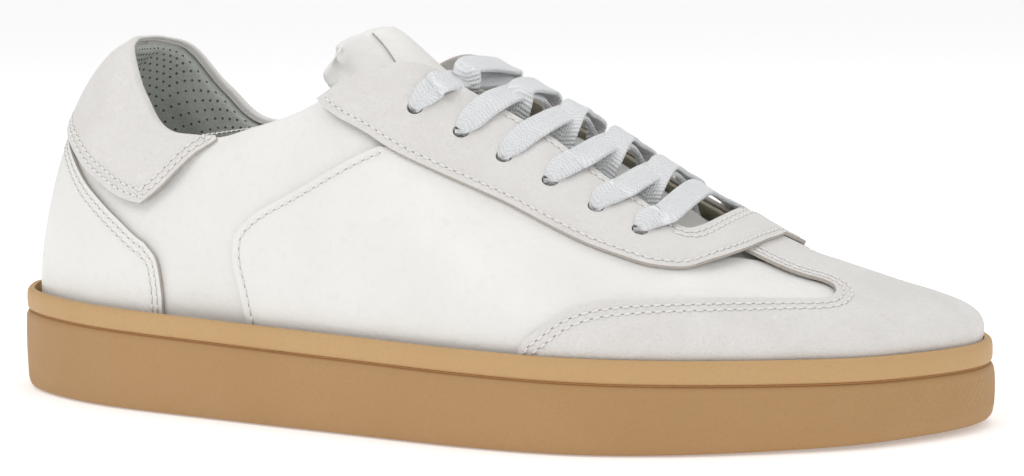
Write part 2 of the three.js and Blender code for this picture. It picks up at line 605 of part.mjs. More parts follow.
// upper part: middle point, radius across, half angle, and how far its sides fall back and down
for (const [u, bulge] of [[6.52, 2.5], [6.08, 6]]) {
  const row = [0.76, 0.89, 1.11, 1.24].map((w) => place(u, w, DEEP - 0.3));
  const middle = add(mix(row[1], row[2], 0.5), [0.5, 0, 0.87], bulge);
  tongueRows.push([row[0], row[1], middle, row[2], row[3]]);
}
const TONGUE_TOP = [[-18.5, 0.5, 106.5, 23, 60, 1.3, 1.15], [-26.5, 0, 112, 27, 46, 0.9, 1]];
for (const [x, y, z, r, half, back, down] of TONGUE_TOP) {
  const lift = SOLE_HEEL + (z - SOLE_HEEL) * KZ;
  tongueRows.push([-1, -0.5, 0, 0.5, 1].map((q) => {
    const a = THREE.MathUtils.degToRad(half * q);
    const drop = r * (1 - Math.cos(a));
    return [x * KX - drop * back, y * KY + r * Math.sin(a) * KY, lift - drop * down];
  }));
}
function tonguePoint(t, q) {
  const row = [];
  for (let k = 0; k < 5; k += 1) row.push(spline(tongueRows.map((r) => r[k]), t, false));
  return spline(row, (q + 1) * 2, false);
}
function tongueNormal(t, q) {
  const dt = sub(tonguePoint(t + 0.03, q), tonguePoint(t - 0.03, q));
  const dq = sub(tonguePoint(t, q + 0.03), tonguePoint(t, q - 0.03));
  const n = unit(cross(dq, dt));
  return n[2] < 0 ? mul(n, -1) : n;
}
const tonguePatch = (name, colour, ni, nj, tq, low, high) => skin(name, colour, ni, nj, (i, j) => {
  const [t, q] = tq(i / (ni - 1), j / (nj - 1));
  const p = tonguePoint(t, q);
  const n = tongueNormal(t, q);
  return [add(p, n, low), add(p, n, high)];
});
const fullTongue = (inset) => (a, b) => {
  const t = 0.1 + (7.85 - inset * 0.06) * a;
  return [t, (2 * b - 1) * (1 - 0.04 * inset) * (1 - 0.12 * smooth((t - 7.4) / 0.6))];
};
parts.add(tonguePatch('tongue_outer', WHITE, 15, 9, fullTongue(0), -SKIN, 0));
parts.add(tonguePatch('tongue_foam', FOAM, 15, 9, fullTongue(3.4), -SKIN - GAP - TONGUE_FOAM, -SKIN - GAP));
const tongueBase = -SKIN - 2 * GAP - TONGUE_FOAM - 0.2;
parts.add(tonguePatch('tongue_lining', CLOTH, 15, 9, fullTongue(0.5), tongueBase - LINING, tongueBase));
const labelAt = (a, b) => [6.05 + 1.5 * a, -0.36 + 0.72 * b];
parts.add(tonguePatch('tongue_label', WHITE, 5, 6, labelAt, GAP, GAP + 0.8));
const keeperAt = (a, b) => [5.02 + 0.3 * a, -0.3 + 0.6 * b];
parts.add(tonguePatch('lace_keeper', WHITE, 3, 6, keeperAt, GAP, GAP + 0.8));

// ---------------------------------------------------------------- lace
const laceTop = LEVEL_C[1] + GAP + LACE_THICK / 2 + 0.2;
const laceLow = LEVEL_LINING[0] - GAP - LACE_THICK / 2 - 0.5;
// control points of the lace: place, outward direction, width, thickness
function laceRun() {
  const lift = (u) => stayLift(u);
  const station = (u, w, level, width = LACE_WIDTH, thick = LACE_THICK) => (
    { p: place(u, w, level + (level > 0 ? lift(u) : 0)), n: placeNormal(u, w), width, thick });
  const inner = (u) => reading(STAY_IN.slice(3, 12), u);
  const halves = [];
  for (const start of [false, true]) {
    const list = [];
    const [u1, w1] = EYELETS[0];
    list.push(station(u1 - 0.02, flip(w1 + 0.12, start), laceTop + 0.4));
    list.push(station(u1, flip(w1 + 0.03, start), laceTop + 0.2, 5, 1.6));
    let here = start;
    for (let k = 0; k < 6; k += 1) {
      const [u, w] = EYELETS[k];
      list.push(station(u, flip(w, here), 1.1, 3.1, 1.8));
      list.push(station(u, flip(w, here), -1.4, 3, 1.8));
      list.push(station(u, flip(w, here), laceLow + 0.9, 3.4, 1.7));
      if (k < 5) {
        const [nu, nw] = EYELETS[k + 1];
        const over = here ? 0 : 1;
        const from = inner(u - 0.12);
        const to = inner(nu + 0.08);
        list.push(station(u - 0.05, flip((w + from) / 2 + 0.02, here), laceLow, 6.4));
        list.push(station(u - 0.13, flip(from + 0.03, here), laceLow + 0.2));
        const a = place(u - 0.2, flip(from + 0.08, here), -2.6 + 2 * over);
        const b = place(nu + 0.16, flip(to + 0.08, !here), -1.2 + 1.6 * over);
        const up = unit(add(placeNormal(u, flip(from, here)), placeNormal(nu, flip(to, !here))));
        const mid = add(mix(a, b, 0.5), up, 0.6 + 0.7 * over);
        list.push({ p: mid, n: up, width: LACE_WIDTH, thick: LACE_THICK });
        list.push(station(nu + 0.1, flip(to, !here), laceTop + 0.9 + 1.2 * over));
        list.push(station(nu + 0.02, flip((to + nw) / 2 + 0.02, !here), laceTop + 0.5 + 0.4 * over));
        list.push(station(nu, flip(nw + 0.02, !here), laceTop + 0.2, 5, 1.5));
        here = !here;
      } else {
        list.push(station(u + 0.02, flip(w - 0.07, here), laceLow - 0.6, 4.4));
        list.push(station(u + 0.05, flip(w - 0.16, here), laceLow - 0.9, 3.4, 1.5));
      }
    }
    halves.push(list);
  }
  const whole = [...halves[0].reverse(), ...halves[1]];
  return whole;
}
const LACE = laceRun();
const laceSteps = 2;
const laceRows = LACE.map((c) => [...c.p, ...c.n, c.width, c.thick]);
const laceRings = [];
for (let k = 0; k <= (LACE.length - 1) * laceSteps; k += 1) {
  const t = k / laceSteps;
  const row = spline(laceRows, t, false);
  const p = row.slice(0, 3);
  const ahead = spline(laceRows, Math.min(t + 0.1, LACE.length - 1), false).slice(0, 3);
  const behind = spline(laceRows, Math.max(t - 0.1, 0), false).slice(0, 3);
  const dir = unit(sub(ahead, behind));
  const prev = laceRings.length ? laceRings.at(-1).across : null;
  let across = cross(dir, row.slice(3, 6));
  if (prev) {
    const strength = clamp(Math.hypot(...across) * 1.6 - 0.2, 0, 1);
    const a = unit(add(mul(unit(across), strength), prev, 1 - strength + 0.05));
    across = a;
  }
  across = unit(add(across, dir, -dot(across, dir)));
  const n = unit(cross(across, dir));
  const [hw, ht] = [row[6] / 2, row[7] / 2];
  laceRings.push({
    across,
    ring: [[-1, -1], [1, -1], [1, 1], [-1, 1]].map(([a, b]) => (
      add(add(p, across, a * hw), n, b * ht))),
  });
}
parts.add(rings('lace', 0xf1f2f3, laceRings.map((r) => r.ring), true));
const TAIL = LACE.length - 1;
for (const [name, end, next] of [['aglet_medial', 0, 1], ['aglet_lateral', TAIL, TAIL - 1]]) {
  const dir = unit(sub(LACE[end].p, LACE[next].p));
  const n = unit(sub(LACE[end].n, mul(dir, dot(LACE[end].n, dir))));
  const across = cross(dir, n);
  const list = [0.4, 11].map((d) => range(9, 0, 2 * Math.PI).slice(0, 8).map((a) => (
    add(add(add(LACE[end].p, dir, d), across, 1.5 * Math.cos(a)), n, 0.8 * Math.sin(a)))));
  parts.add(rings(name, 0xf4f4f2, list, true));
}

export default parts;
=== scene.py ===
"""Low court shoe for the right foot: leather and suede upper, padded collar and tongue, rubber cupsole.

Working sizes are millimetres in the row frame (toe +X, medial side +Y, up +Z); meshes are made in metres.
"""

import math

import bmesh
import bpy
import numpy as np
from bpy.props import FloatProperty, FloatVectorProperty, IntProperty, PointerProperty
from bpy.types import Operator, Panel, PropertyGroup
from mathutils import Matrix, Vector
from mathutils.bvhtree import BVHTree


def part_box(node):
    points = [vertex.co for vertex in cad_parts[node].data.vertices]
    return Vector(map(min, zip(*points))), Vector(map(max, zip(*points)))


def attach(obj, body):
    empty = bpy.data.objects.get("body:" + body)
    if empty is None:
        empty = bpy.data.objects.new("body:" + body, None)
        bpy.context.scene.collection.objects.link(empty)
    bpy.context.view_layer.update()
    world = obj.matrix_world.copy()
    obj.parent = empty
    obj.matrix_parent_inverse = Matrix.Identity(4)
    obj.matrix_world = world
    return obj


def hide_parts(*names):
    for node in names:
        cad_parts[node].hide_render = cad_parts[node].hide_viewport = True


bl_info = {
    "name": "Court shoe",
    "version": (1, 0, 0),
    "blender": (4, 5, 0),
    "location": "View3D > Sidebar > Court shoe",
    "description": "Builds a laced court shoe around its CAD frame, piece by piece",
    "category": "Add Mesh",
}

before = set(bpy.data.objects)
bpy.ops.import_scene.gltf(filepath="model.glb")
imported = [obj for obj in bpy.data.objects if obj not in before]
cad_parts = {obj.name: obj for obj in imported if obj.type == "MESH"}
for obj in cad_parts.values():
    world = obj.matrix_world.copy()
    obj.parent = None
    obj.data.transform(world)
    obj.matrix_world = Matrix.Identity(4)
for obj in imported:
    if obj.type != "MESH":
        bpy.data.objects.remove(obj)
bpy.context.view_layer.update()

MM = 0.001
SOLE_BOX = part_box("outsole_cup")
KX = (SOLE_BOX[1].x - SOLE_BOX[0].x) / 0.3
KY = (SOLE_BOX[1].y - SOLE_BOX[0].y) / 0.118556
BODY, TONGUE = "shoe", "tongue"

# ------------------------------------------------------------------ the last: outline stations and ribs
OUTLINE = np.array([
    (-150, 0, 0), (-147, -10, 12), (-138, -22.5, 25), (-120, -34, 35.5), (-95, -43, 39.5),
    (-55, -50, 38), (-10, -57, 36.5), (30, -62.5, 41), (60, -62, 49.5), (85, -54, 55),
    (108, -41, 55), (128, -25.5, 50), (141.5, -7, 39.5), (148, 7, 29.5), (150, 18.5, 18.5)], float)
TOPS = np.array([
    (-108, 0, 106.5), (-106.5, -9, 106), (-101.5, -18, 102.5), (-93, -25, 90), (-79, -29, 79.5),
    (-45, -29, 85.5), (-8, -19, 101), (28, 6, 88), (56, 10, 72), (79, 10.5, 58.5),
    (97, 11, 48.5), (110, 12, 44), (121, 14, 40.5), (128, 15.5, 38), (131, 16, 36.5)], float)
MEDIAL_FALL = (0, 0, 0, 0, 0, 0, 0, 4, 7.5, 7.5, 7.5, 6.5, 4, 1.5, 0)
LEAN = (-1, -1, 0, 1, 2, 3, 4, 4, 4, 4, 3, 3, 3, 2, 2)
RISE = (28, 28, 27, 25, 22, 22, 24, 20, 16, 13, 11, 10, 9, 8, 8)
ROLL = ((17, 10), (17, 10), (15, 12), (10, 16), (9, 14), (9, 16), (12, 14))
CROWN = ((24, 90), (26, 90), (28, 88), (26, 80), (24, 66), (20, 48), (16, 25), (12, 0))
EYELETS = ((8.353, 0.581), (7.852, 0.591), (7.357, 0.598), (6.915, 0.625), (6.554, 0.683), (6.2, 0.757))
RIBS = 28
FEATHER = 4.5
TUCK = 0.055
SKIN, GAP, LINING = 1.1, 0.45, 1.0
LEVEL_C = np.array((-0.2, -0.2 + SKIN))
LEVEL_B = LEVEL_C - GAP - SKIN
LEVEL_A = LEVEL_B - GAP - SKIN
LEVEL_STIFF = np.array((LEVEL_A[0] - GAP - 0.7, LEVEL_A[0] - GAP))
LEVEL_LINING = np.array((LEVEL_STIFF[0] - GAP - LINING, LEVEL_STIFF[0] - GAP))
BAND_HEIGHT, BAND_THICK, GROOVE = 6.2, 1.9, 0.5
CUP_WALL, CUP_FLOOR, BOARD_THICK, FOOTBED_THICK = 5.2, 5.0, 1.8, 5.5
COLLAR_ROLL, COLLAR_END, ROOT_V = 8.0, 5.1, 0.4
LACE_THICK, TONGUE_FOAM = 1.2, 3.6


def smooth(x):
    t = np.clip(x, 0, 1)
    return t * t * (3 - 2 * t)


def unit(a):
    return a / np.maximum(np.linalg.norm(a, axis=-1, keepdims=True), 1e-12)


def spline(rows, t, closed=False):
    """Uniform Catmull-Rom through rows of numbers at every t."""
    rows = np.asarray(rows, float)
    t = np.asarray(t, float)
    n = len(rows)
    if closed:
        i = np.floor(t).astype(int)
        p0, p1, p2, p3 = (rows[(i + k) % n] for k in (-1, 0, 1, 2))
    else:
        ext = np.vstack([2 * rows[0] - rows[1], rows, 2 * rows[-1] - rows[-2]])
        i = np.clip(np.floor(t).astype(int), 0, n - 2)
        p0, p1, p2, p3 = (ext[i + k] for k in (0, 1, 2, 3))
    f = (t - i)[..., None]
    return 0.5 * (2 * p1 + (p2 - p0) * f + (2 * p0 - 5 * p1 + 4 * p2 - p3) * f ** 2
                  + (3 * p1 - p0 - 3 * p2 + p3) * f ** 3)


def along(rows, t):
    return spline(rows, np.asarray(t, float) * (len(rows) - 1))


RING = np.array([(OUTLINE[k, 0] * KX, OUTLINE[k, 1] * KY) for k in range(15)]
                + [(OUTLINE[k, 0] * KX, OUTLINE[k, 2] * KY) for k in range(13, 0, -1)])


def outward(s):
    """Unit normal of the sole outline, in plan."""
    d = spline(RING, np.asarray(s) + 0.02, True) - spline(RING, np.asarray(s) - 0.02, True)
    return unit(np.stack([d[..., 1], -d[..., 0], np.zeros(d.shape[:-1])], -1))


def edge(s, inset):
    p = spline(RING, s, True)
    return np.concatenate([p, np.zeros(p.shape[:-1] + (1,))], -1) - outward(s) * np.asarray(inset)[..., None]


def sole_top(x):
    return 30.5 + (23.5 - 30.5) * (x / KX + 150) / 300


def toe_spring(x):
    return 1.5 * np.clip((x / KX - 60) / 90, 0, 1) ** 2


def cup_top(x):
    return sole_top(x) - BAND_HEIGHT - GROOVE


def rib_controls():
    rows = np.zeros((4, RIBS, 3))
    for k in range(RIBS):
        i = k if k <= 14 else RIBS - k
        side = -1 if k <= 14 else 1
        n = outward(float(k))
        foot = edge(float(k), FEATHER)
        foot[2] = sole_top(foot[0])
        scale = np.array((KX, KY, 1))
        top = TOPS[i] * scale
        if side > 0 and i < 7:
            top[1] *= -1
        if i < 7:
            third = top + n * ROLL[i][0] - np.array((0, 0, ROLL[i][1]))
        else:
            length, turn = CROWN[i - 7]
            before = TOPS[12 if i == 14 else max(i - 1, 7)] * scale
            ridge = unit(TOPS[min(i + 1, 14)] * scale - before)
            a = math.radians(turn)
            third = top + np.array((0, side * length * KY * math.sin(a), 0)) + ridge * length * math.cos(a)
            if side > 0:
                third[2] -= MEDIAL_FALL[i]
        rows[:, k] = foot, foot + n * LEAN[i] + np.array((0, 0, RISE[i])), third, top
    return rows


CONTROL = rib_controls()


def surface(s, v):
    """Point of the upper at rib s (0 heel, 14 toe, on round the medial side) and share of height v."""
    s, v = np.broadcast_arrays(np.asarray(s, float), np.asarray(v, float))
    a, b, c, d = (spline(rows, s, True) for rows in CONTROL)
    v = v[..., None]
    w = 1 - v
    curve = w ** 3 * a + 3 * w * w * v * b + 3 * w * v * v * c + v ** 3 * d
    return np.where(v < 0, a + (b - a) * 3 * v, curve)


def raw_normal(s, v):
    u = np.minimum(v, 0.985)
    ds = surface(s + 0.02, u) - surface(s - 0.02, u)
    dv = surface(s, u + 0.01) - surface(s, u - 0.01)
    return unit(np.cross(ds, dv))


def normal(s, v):
    s, v = np.broadcast_arrays(np.asarray(s, float), np.asarray(v, float))
    n = raw_normal(s, v)
    k = np.mod(s, RIBS)
    t = np.clip((v - 0.86) / 0.14, 0, 1) / 2
    t = np.where((k < 7) | (k > RIBS - 7), 0, t)[..., None]
    return unit(n * (1 - t) + raw_normal(RIBS - s, v) * t)


def fold(u, w):
    """Rib and height from a place that may cross the ridge: w runs up the lateral side and down the medial."""
    return np.where(w <= 1, u, RIBS - u), np.where(w <= 1, w, 2 - w)


def place(u, w, level=0.0):
    s, v = fold(np.asarray(u, float), np.asarray(w, float))
    return surface(s, v) + normal(s, v) * np.asarray(level, float)[..., None]


def place_normal(u, w):
    return normal(*fold(np.asarray(u, float), np.asarray(w, float)))


def wrap(s, v):
    """Place from a signed rib that crosses the heel: negative on the medial side."""
    return np.abs(s), np.where(s < 0, 2 - v, v)


def flip(w, medial):
    return 2 - np.asarray(w) if medial else np.asarray(w)


def coons(left, right, bottom, top):
    """Patch between four edge curves."""
    left, right, bottom, top = (np.asarray(c, float) for c in (left, right, bottom, top))

    def at(a, b):
        a, b = np.broadcast_arrays(a, b)
        x, y = a[..., None], b[..., None]
        corner = (left[0] * (1 - x) + right[0] * x) * (1 - y) + (left[-1] * (1 - x) + right[-1] * x) * y
        uw = ((1 - x) * along(left, b) + x * along(right, b)
              + (1 - y) * along(bottom, a) + y * along(top, a) - corner)
        return uw[..., 0], uw[..., 1]
    return at


# ------------------------------------------------------------------ upper patterns, in rib space
SEAM = ((5.2, -TUCK), (5.14, 0.12), (5.04, 0.28), (5.02, 0.4), (5.16, 0.49), (5.5, 0.55), (6.02, 0.63))
GUARD = ((7.42, -0.07), (7.507, 0.044), (7.653, 0.104), (7.878, 0.182), (8.15, 0.239), (8.437, 0.277),
         (8.735, 0.31), (9.234, 0.362), (10.034, 0.451), (10.42, 0.486), (10.59, 0.505), (10.725, 0.538),
         (10.794, 0.6))
TBAR = ((10.794, 0.6), (10.745, 0.662), (10.573, 0.698), (10.347, 0.706), (9.893, 0.718), (9.519, 0.728),
        (9.2, 0.739))
STAY_OUT = ((5.36, 0.965), (5.5, 0.858), (5.72, 0.744), (6.08, 0.621), (6.42, 0.555), (6.834, 0.507),
            (7.324, 0.473), (7.851, 0.459), (8.287, 0.456), (8.624, 0.462), (8.92, 0.492), (9.132, 0.54),
            (9.32, 0.61), (9.516, 0.723), (9.644, 0.846), (9.72, 0.93), (9.75, 1))
STAY_IN = ((5.5, 0.983), (5.82, 0.983), (6.06, 0.971), (6.257, 0.936), (6.434, 0.87), (6.688, 0.815),
           (7.026, 0.764), (7.409, 0.731), (7.791, 0.717), (8.131, 0.706), (8.425, 0.693), (8.643, 0.682),
           (8.8, 0.692), (8.907, 0.746), (8.98, 0.823), (9.03, 0.91), (9.05, 1))
HEEL_SIDE = ((4.44, -TUCK), (4.44, 0.1), (4.36, 0.25), (4.2, 0.335))
HEEL_TOP = ((-4.2, 0.335), (-3.7, 0.44), (-2.9, 0.485), (-1.5, 0.535), (0, 0.56), (1.5, 0.535), (2.9, 0.485),
            (3.7, 0.44), (4.2, 0.335))
PATCH_SIDE = ((4.02, 0.55), (4.15, 0.65), (4.26, 0.776), (4.34, 0.88), (4.44, 0.97))
PATCH_LOW = ((-4.02, 0.55), (-3.3, 0.549), (-2.5, 0.546), (-1.2, 0.563), (0, 0.575), (1.2, 0.563), (2.5, 0.546),
             (3.3, 0.549), (4.02, 0.55))


# ------------------------------------------------------------------ meshes
def add_object(name, verts, faces, materials, body=BODY, face_slots=None, sharp=40, uv=None):
    """Mesh object in metres from millimetre points; it rides on a body."""
    mesh = bpy.data.meshes.new(name)
    mesh.from_pydata((np.asarray(verts, float).reshape(-1, 3) * MM).tolist(), [], faces)
    for m in materials:
        mesh.materials.append(m)
    if face_slots is not None:
        mesh.polygons.foreach_set("material_index", np.asarray(face_slots, np.int32))
    if uv is not None:
        layer = mesh.uv_layers.new(name="UVMap")
        loops = np.zeros(len(mesh.loops), np.int32)
        mesh.loops.foreach_get("vertex_index", loops)
        layer.data.foreach_set("uv", np.asarray(uv, np.float32)[loops].ravel())
    mesh.polygons.foreach_set("use_smooth", np.ones(len(mesh.polygons), bool))
    mesh.set_sharp_from_angle(angle=math.radians(sharp))
    mesh.update()
    obj = bpy.data.objects.new(name, mesh)
    bpy.context.scene.collection.objects.link(obj)
    if body:
        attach(obj, body)
    return obj


def tidy_mesh(obj, bevel=0.0):
    """Welds seams, points faces outwards and rounds the cut edges."""
    bm = bmesh.new()
    bm.from_mesh(obj.data)
    bmesh.ops.remove_doubles(bm, verts=bm.verts, dist=0.004 * MM)
    bmesh.ops.recalc_face_normals(bm, faces=bm.faces)
    bm.to_mesh(obj.data)
    bm.free()
    if bevel:
        mod = obj.modifiers.new("round edges", "BEVEL")
        mod.width = bevel * MM
        mod.segments = 2
        mod.limit_method = "ANGLE"
        mod.angle_limit = math.radians(50)
        mod.harden_normals = False
        apply_modifiers(obj)
    obj.data.set_sharp_from_angle(angle=math.radians(45))
    return obj


def apply_modifiers(obj):
    bpy.context.view_layer.update()
    dg = bpy.context.evaluated_depsgraph_get()
    mesh = bpy.data.meshes.new_from_object(obj.evaluated_get(dg), preserve_all_data_layers=True, depsgraph=dg)
    old = obj.data
    obj.modifiers.clear()
    obj.data = mesh
    mesh.name = old.name
    bpy.data.meshes.remove(old)
    return obj


def shell(name, top, low, materials, body=BODY, keep=None, bevel=0.28, uv=None):
    """Closed skin between two grids of points; the second material is the cut edge, darker partly as the raw
    edge's own tone and partly as a painted shadow line.
    """
    ni, nj = top.shape[:2]
    cells = np.ones((ni - 1, nj - 1), bool) if keep is None else keep
    ids = np.arange(ni * nj).reshape(ni, nj)
    base = ni * nj
    a, b = ids[:-1, :-1][cells], ids[1:, :-1][cells]
    c, d = ids[1:, 1:][cells], ids[:-1, 1:][cells]
    faces = np.concatenate([np.stack([a, b, c, d], -1), np.stack([a, d, c, b], -1) + base]).tolist()
    slots = [0] * len(faces)
    padded = np.zeros((ni + 1, nj + 1), bool)
    padded[1:-1, 1:-1] = cells
    rims = []
    for i, j in np.argwhere(cells):
        if not padded[i + 1, j]:
            rims.append((ids[i, j], ids[i + 1, j]))
        if not padded[i + 2, j + 1]:
            rims.append((ids[i + 1, j], ids[i + 1, j + 1]))
        if not padded[i + 1, j + 2]:
            rims.append((ids[i + 1, j + 1], ids[i, j + 1]))
        if not padded[i, j + 1]:
            rims.append((ids[i, j + 1], ids[i, j]))
    flat = np.round(top.reshape(-1, 3), 2)
    names = [tuple(p) for p in flat.tolist()]
    seen = {(names[p], names[q]) for p, q in rims}
    for p, q in rims:
        if (names[q], names[p]) not in seen:
            faces.append([int(p) + base, int(q) + base, int(q), int(p)])
            slots.append(len(materials) - 1)
    pts = np.concatenate([top.reshape(-1, 3), low.reshape(-1, 3)])
    coords = None if uv is None else np.concatenate([uv.reshape(-1, 2)] * 2)
    obj = add_object(name, pts, faces, materials, body, slots, uv=coords)
    return tidy_mesh(obj, bevel)


def press(points, normals, lines, depth, width):
    """Sinks points of a grid along their normals beside stitched lines."""
    flat = points.reshape(-1, 3)
    route = np.concatenate(lines)
    sink = np.zeros(len(flat))
    for start in range(0, len(flat), 4000):
        part = flat[start:start + 4000]
        gap = ((part[:, None, :] - route[None, :, :]) ** 2).sum(-1).min(1)
        sink[start:start + 4000] = depth * np.exp(-gap / width ** 2)
    return points - normals * sink.reshape(points.shape[:-1])[..., None]


def ripple(points, size, amount, seed):
    """Slow soft waves, so that no panel is perfectly fair."""
    rng = np.random.default_rng(seed)
    total = np.zeros(points.shape[:-1])
    for _ in range(7):
        d = rng.normal(size=3)
        d /= np.linalg.norm(d)
        total += np.sin(points @ d / (size * rng.uniform(0.6, 1.6)) * 2 * math.pi + rng.uniform(0, 6.28))
    return total * amount / 3


def panel(name, uw, ni, nj, level, materials, lines=(), lift=None, keep=None, spread=None, bevel=0.28,
          groove=0.32, wave=0.1, seed=1, body=BODY):
    """Skin laid on the upper. uw(a, b) gives the rib place for a, b from 0 to 1."""
    a = np.linspace(0, 1, ni) if spread is None else spread
    a, b = np.meshgrid(a, np.linspace(0, 1, nj), indexing="ij")
    u, w = uw(a, b)
    p, n = place(u, w), place_normal(u, w)
    extra = 0 if lift is None else lift(u, w)
    wavy = ripple(p, 34, wave, seed) + extra
    top = p + n * (level[1] + wavy)[..., None]
    low = p + n * (level[0] + wavy)[..., None]
    if len(lines):
        top = press(top, n, lines, groove, 1.5)
    return shell(name, top, low, materials, body, keep, bevel)


def loft(name, rings, materials, caps=True, body=BODY, sharp=40, uv=None):
    """Rings of points joined one to the next; caps close the ends, otherwise the last joins the first."""
    rings = np.asarray(rings, float)
    count, m = rings.shape[:2]
    ids = np.arange(count * m).reshape(count, m)
    nxt = np.roll(ids, -1, axis=1)
    rows = count - 1 if caps else count
    faces = []
    for r in range(rows):
        q = (r + 1) % count
        faces += np.stack([ids[r], nxt[r], nxt[q], ids[q]], -1).tolist()
    if caps:
        for r in (0, count - 1):
            for k in range(m // 2):
                quad = [ids[r][k], ids[r][k + 1], ids[r][m - k - 1], ids[r][(m - k) % m]]
                quad = list(dict.fromkeys(int(x) for x in (quad[::-1] if r == 0 else quad)))
                faces.append(quad)
    obj = add_object(name, rings.reshape(-1, 3), faces, materials, body, sharp=sharp,
                     uv=None if uv is None else uv.reshape(-1, 2))
    return tidy_mesh(obj)


def sole_ring(inset, z, m=448):
    s = np.arange(m) * RIBS / m
    p = edge(s, np.full(m, float(inset)))
    p[:, 2] = z(p[:, 0])
    return p


# ------------------------------------------------------------------ finishes
FINISHES = {}


def sizes():
    return bpy.context.scene.court_shoe_sizes


def colours():
    return bpy.context.scene.court_shoe_colours


def step(tree, kind, inputs=None, **settings):
    made = tree.nodes.new(kind)
    for key, value in settings.items():
        setattr(made, key, value)
    for key, value in (inputs or {}).items():
        socket = made.inputs[key]
        if isinstance(value, bpy.types.NodeSocket):
            tree.links.new(value, socket)
        else:
            socket.default_value = value
    return made


def tinted(colour, factor):
    return tuple(min(1.0, c * f) for c, f in zip(colour, factor)) + (1,)


class Finish:
    """A procedural material: base colour mottled by grain, with relief stacked on it."""

    def __init__(self, name, colour, rough, spec=0.5, sheen=0.0, sheen_rough=0.4, coat=0.0, coat_rough=0.3):
        self.material = bpy.data.materials.new(name)
        self.material.use_nodes = True
        self.tree = self.material.node_tree
        self.shader = self.tree.nodes["Principled BSDF"]
        self.colour = tuple(colour)
        for key, value in (("Base Color", (*colour, 1)), ("Roughness", rough), ("Specular IOR Level", spec),
                           ("Sheen Weight", sheen), ("Sheen Roughness", sheen_rough),
                           ("Coat Weight", coat), ("Coat Roughness", coat_rough)):
            self.shader.inputs[key].default_value = value
        self.material.diffuse_color = (*colour, 1)
        self.where = step(self.tree, "ShaderNodeTexCoord").outputs["Object"]
        self.uv = None
        self.bump = None
        self.paint = None

    def noise(self, scale, detail=3.0, rough=0.55, twist=0.0):
        return step(self.tree, "ShaderNodeTexNoise", {"Vector": self.where, "Scale": scale, "Detail": detail,
                                                      "Roughness": rough, "Distortion": twist}).outputs["Fac"]

    def cells(self, scale, feature="F1"):
        return step(self.tree, "ShaderNodeTexVoronoi", {"Vector": self.where, "Scale": scale},
                    feature=feature).outputs["Distance"]

    def span(self, value, low, high, to_low=0.0, to_high=1.0):
        return step(self.tree, "ShaderNodeMapRange", {"Value": value, "From Min": low, "From Max": high,
                                                      "To Min": to_low, "To Max": to_high}).outputs["Result"]

    def sum(self, a, b, how="ADD"):
        return step(self.tree, "ShaderNodeMath", {0: a, 1: b}, operation=how).outputs[0]

    def mottle(self, value, low, high, factor):
        """Mixes towards a tint where the value runs from low to high."""
        mix = step(self.tree, "ShaderNodeMix", data_type="RGBA")
        self.tree.links.new(self.span(value, low, high), mix.inputs["Factor"])
        if self.paint is None:
            mix.inputs["A"].default_value = (*self.colour, 1)
        else:
            self.tree.links.new(self.paint, mix.inputs["A"])
        mix.inputs["B"].default_value = tinted(self.colour, factor)
        self.paint = mix.outputs["Result"]
        self.tree.links.new(self.paint, self.shader.inputs["Base Color"])
        return self

    def relief(self, value, height, strength=1.0):
        inputs = {"Height": value, "Distance": height * MM, "Strength": strength}
        if self.bump is not None:
            inputs["Normal"] = self.bump
        self.bump = step(self.tree, "ShaderNodeBump", inputs).outputs["Normal"]
        self.tree.links.new(self.bump, self.shader.inputs["Normal"])
        return self

    def roughen(self, value, low, high, to_low, to_high):
        self.tree.links.new(self.span(value, low, high, to_low, to_high), self.shader.inputs["Roughness"])
        return self


def smooth_leather():
    f = Finish("smooth_leather", colours().leather, 0.42, 0.45)
    pores = f.cells(820, "SMOOTH_F1")
    f.mottle(f.noise(26, 4), 0.42, 0.7, (0.965, 0.962, 0.95))
    f.mottle(f.noise(420, 2), 0.55, 0.8, (0.95, 0.945, 0.93))
    f.relief(pores, 0.16, 0.5).relief(f.noise(230, 4, 0.6), 0.3, 0.4).relief(f.noise(55, 2), 0.5, 0.35)
    return f.roughen(f.noise(90, 3), 0.35, 0.7, 0.36, 0.5)


def napped_suede():
    f = Finish("napped_suede", colours().suede, 0.95, 0.2, 0.25, 0.5)
    nap = f.noise(1500, 3, 0.7)
    f.mottle(f.noise(38, 5, 0.6, 0.6), 0.45, 0.72, (0.93, 0.925, 0.915))
    f.mottle(nap, 0.52, 0.8, (0.86, 0.85, 0.83))
    f.mottle(f.noise(190, 3, 0.6, 1.2), 0.58, 0.8, (1.06, 1.06, 1.06))
    f.relief(nap, 0.3, 0.7).relief(f.noise(420, 4, 0.65, 0.8), 0.35, 0.5)
    return f


def lining_cloth():
    f = Finish("lining_cloth", colours().lining, 0.9, 0.2, 0.2, 0.5)
    knit = f.sum(f.noise(2100, 1), f.noise(900, 2), "MULTIPLY")
    f.mottle(f.noise(60, 3), 0.45, 0.75, (0.93, 0.94, 0.93))
    f.mottle(knit, 0.16, 0.42, (0.84, 0.86, 0.84))
    return f.relief(knit, 0.3, 0.8)


def moulded_rubber(name, colour):
    f = Finish(name, colour, 0.55, 0.4)
    fine = f.noise(1300, 2)
    f.mottle(f.noise(17, 4), 0.4, 0.75, (0.95, 0.935, 0.9))
    f.mottle(fine, 0.5, 0.85, (0.9, 0.88, 0.85))
    f.relief(fine, 0.12, 0.5).relief(f.noise(160, 3), 0.18, 0.4)
    return f.roughen(f.noise(70, 3), 0.3, 0.7, 0.5, 0.66)


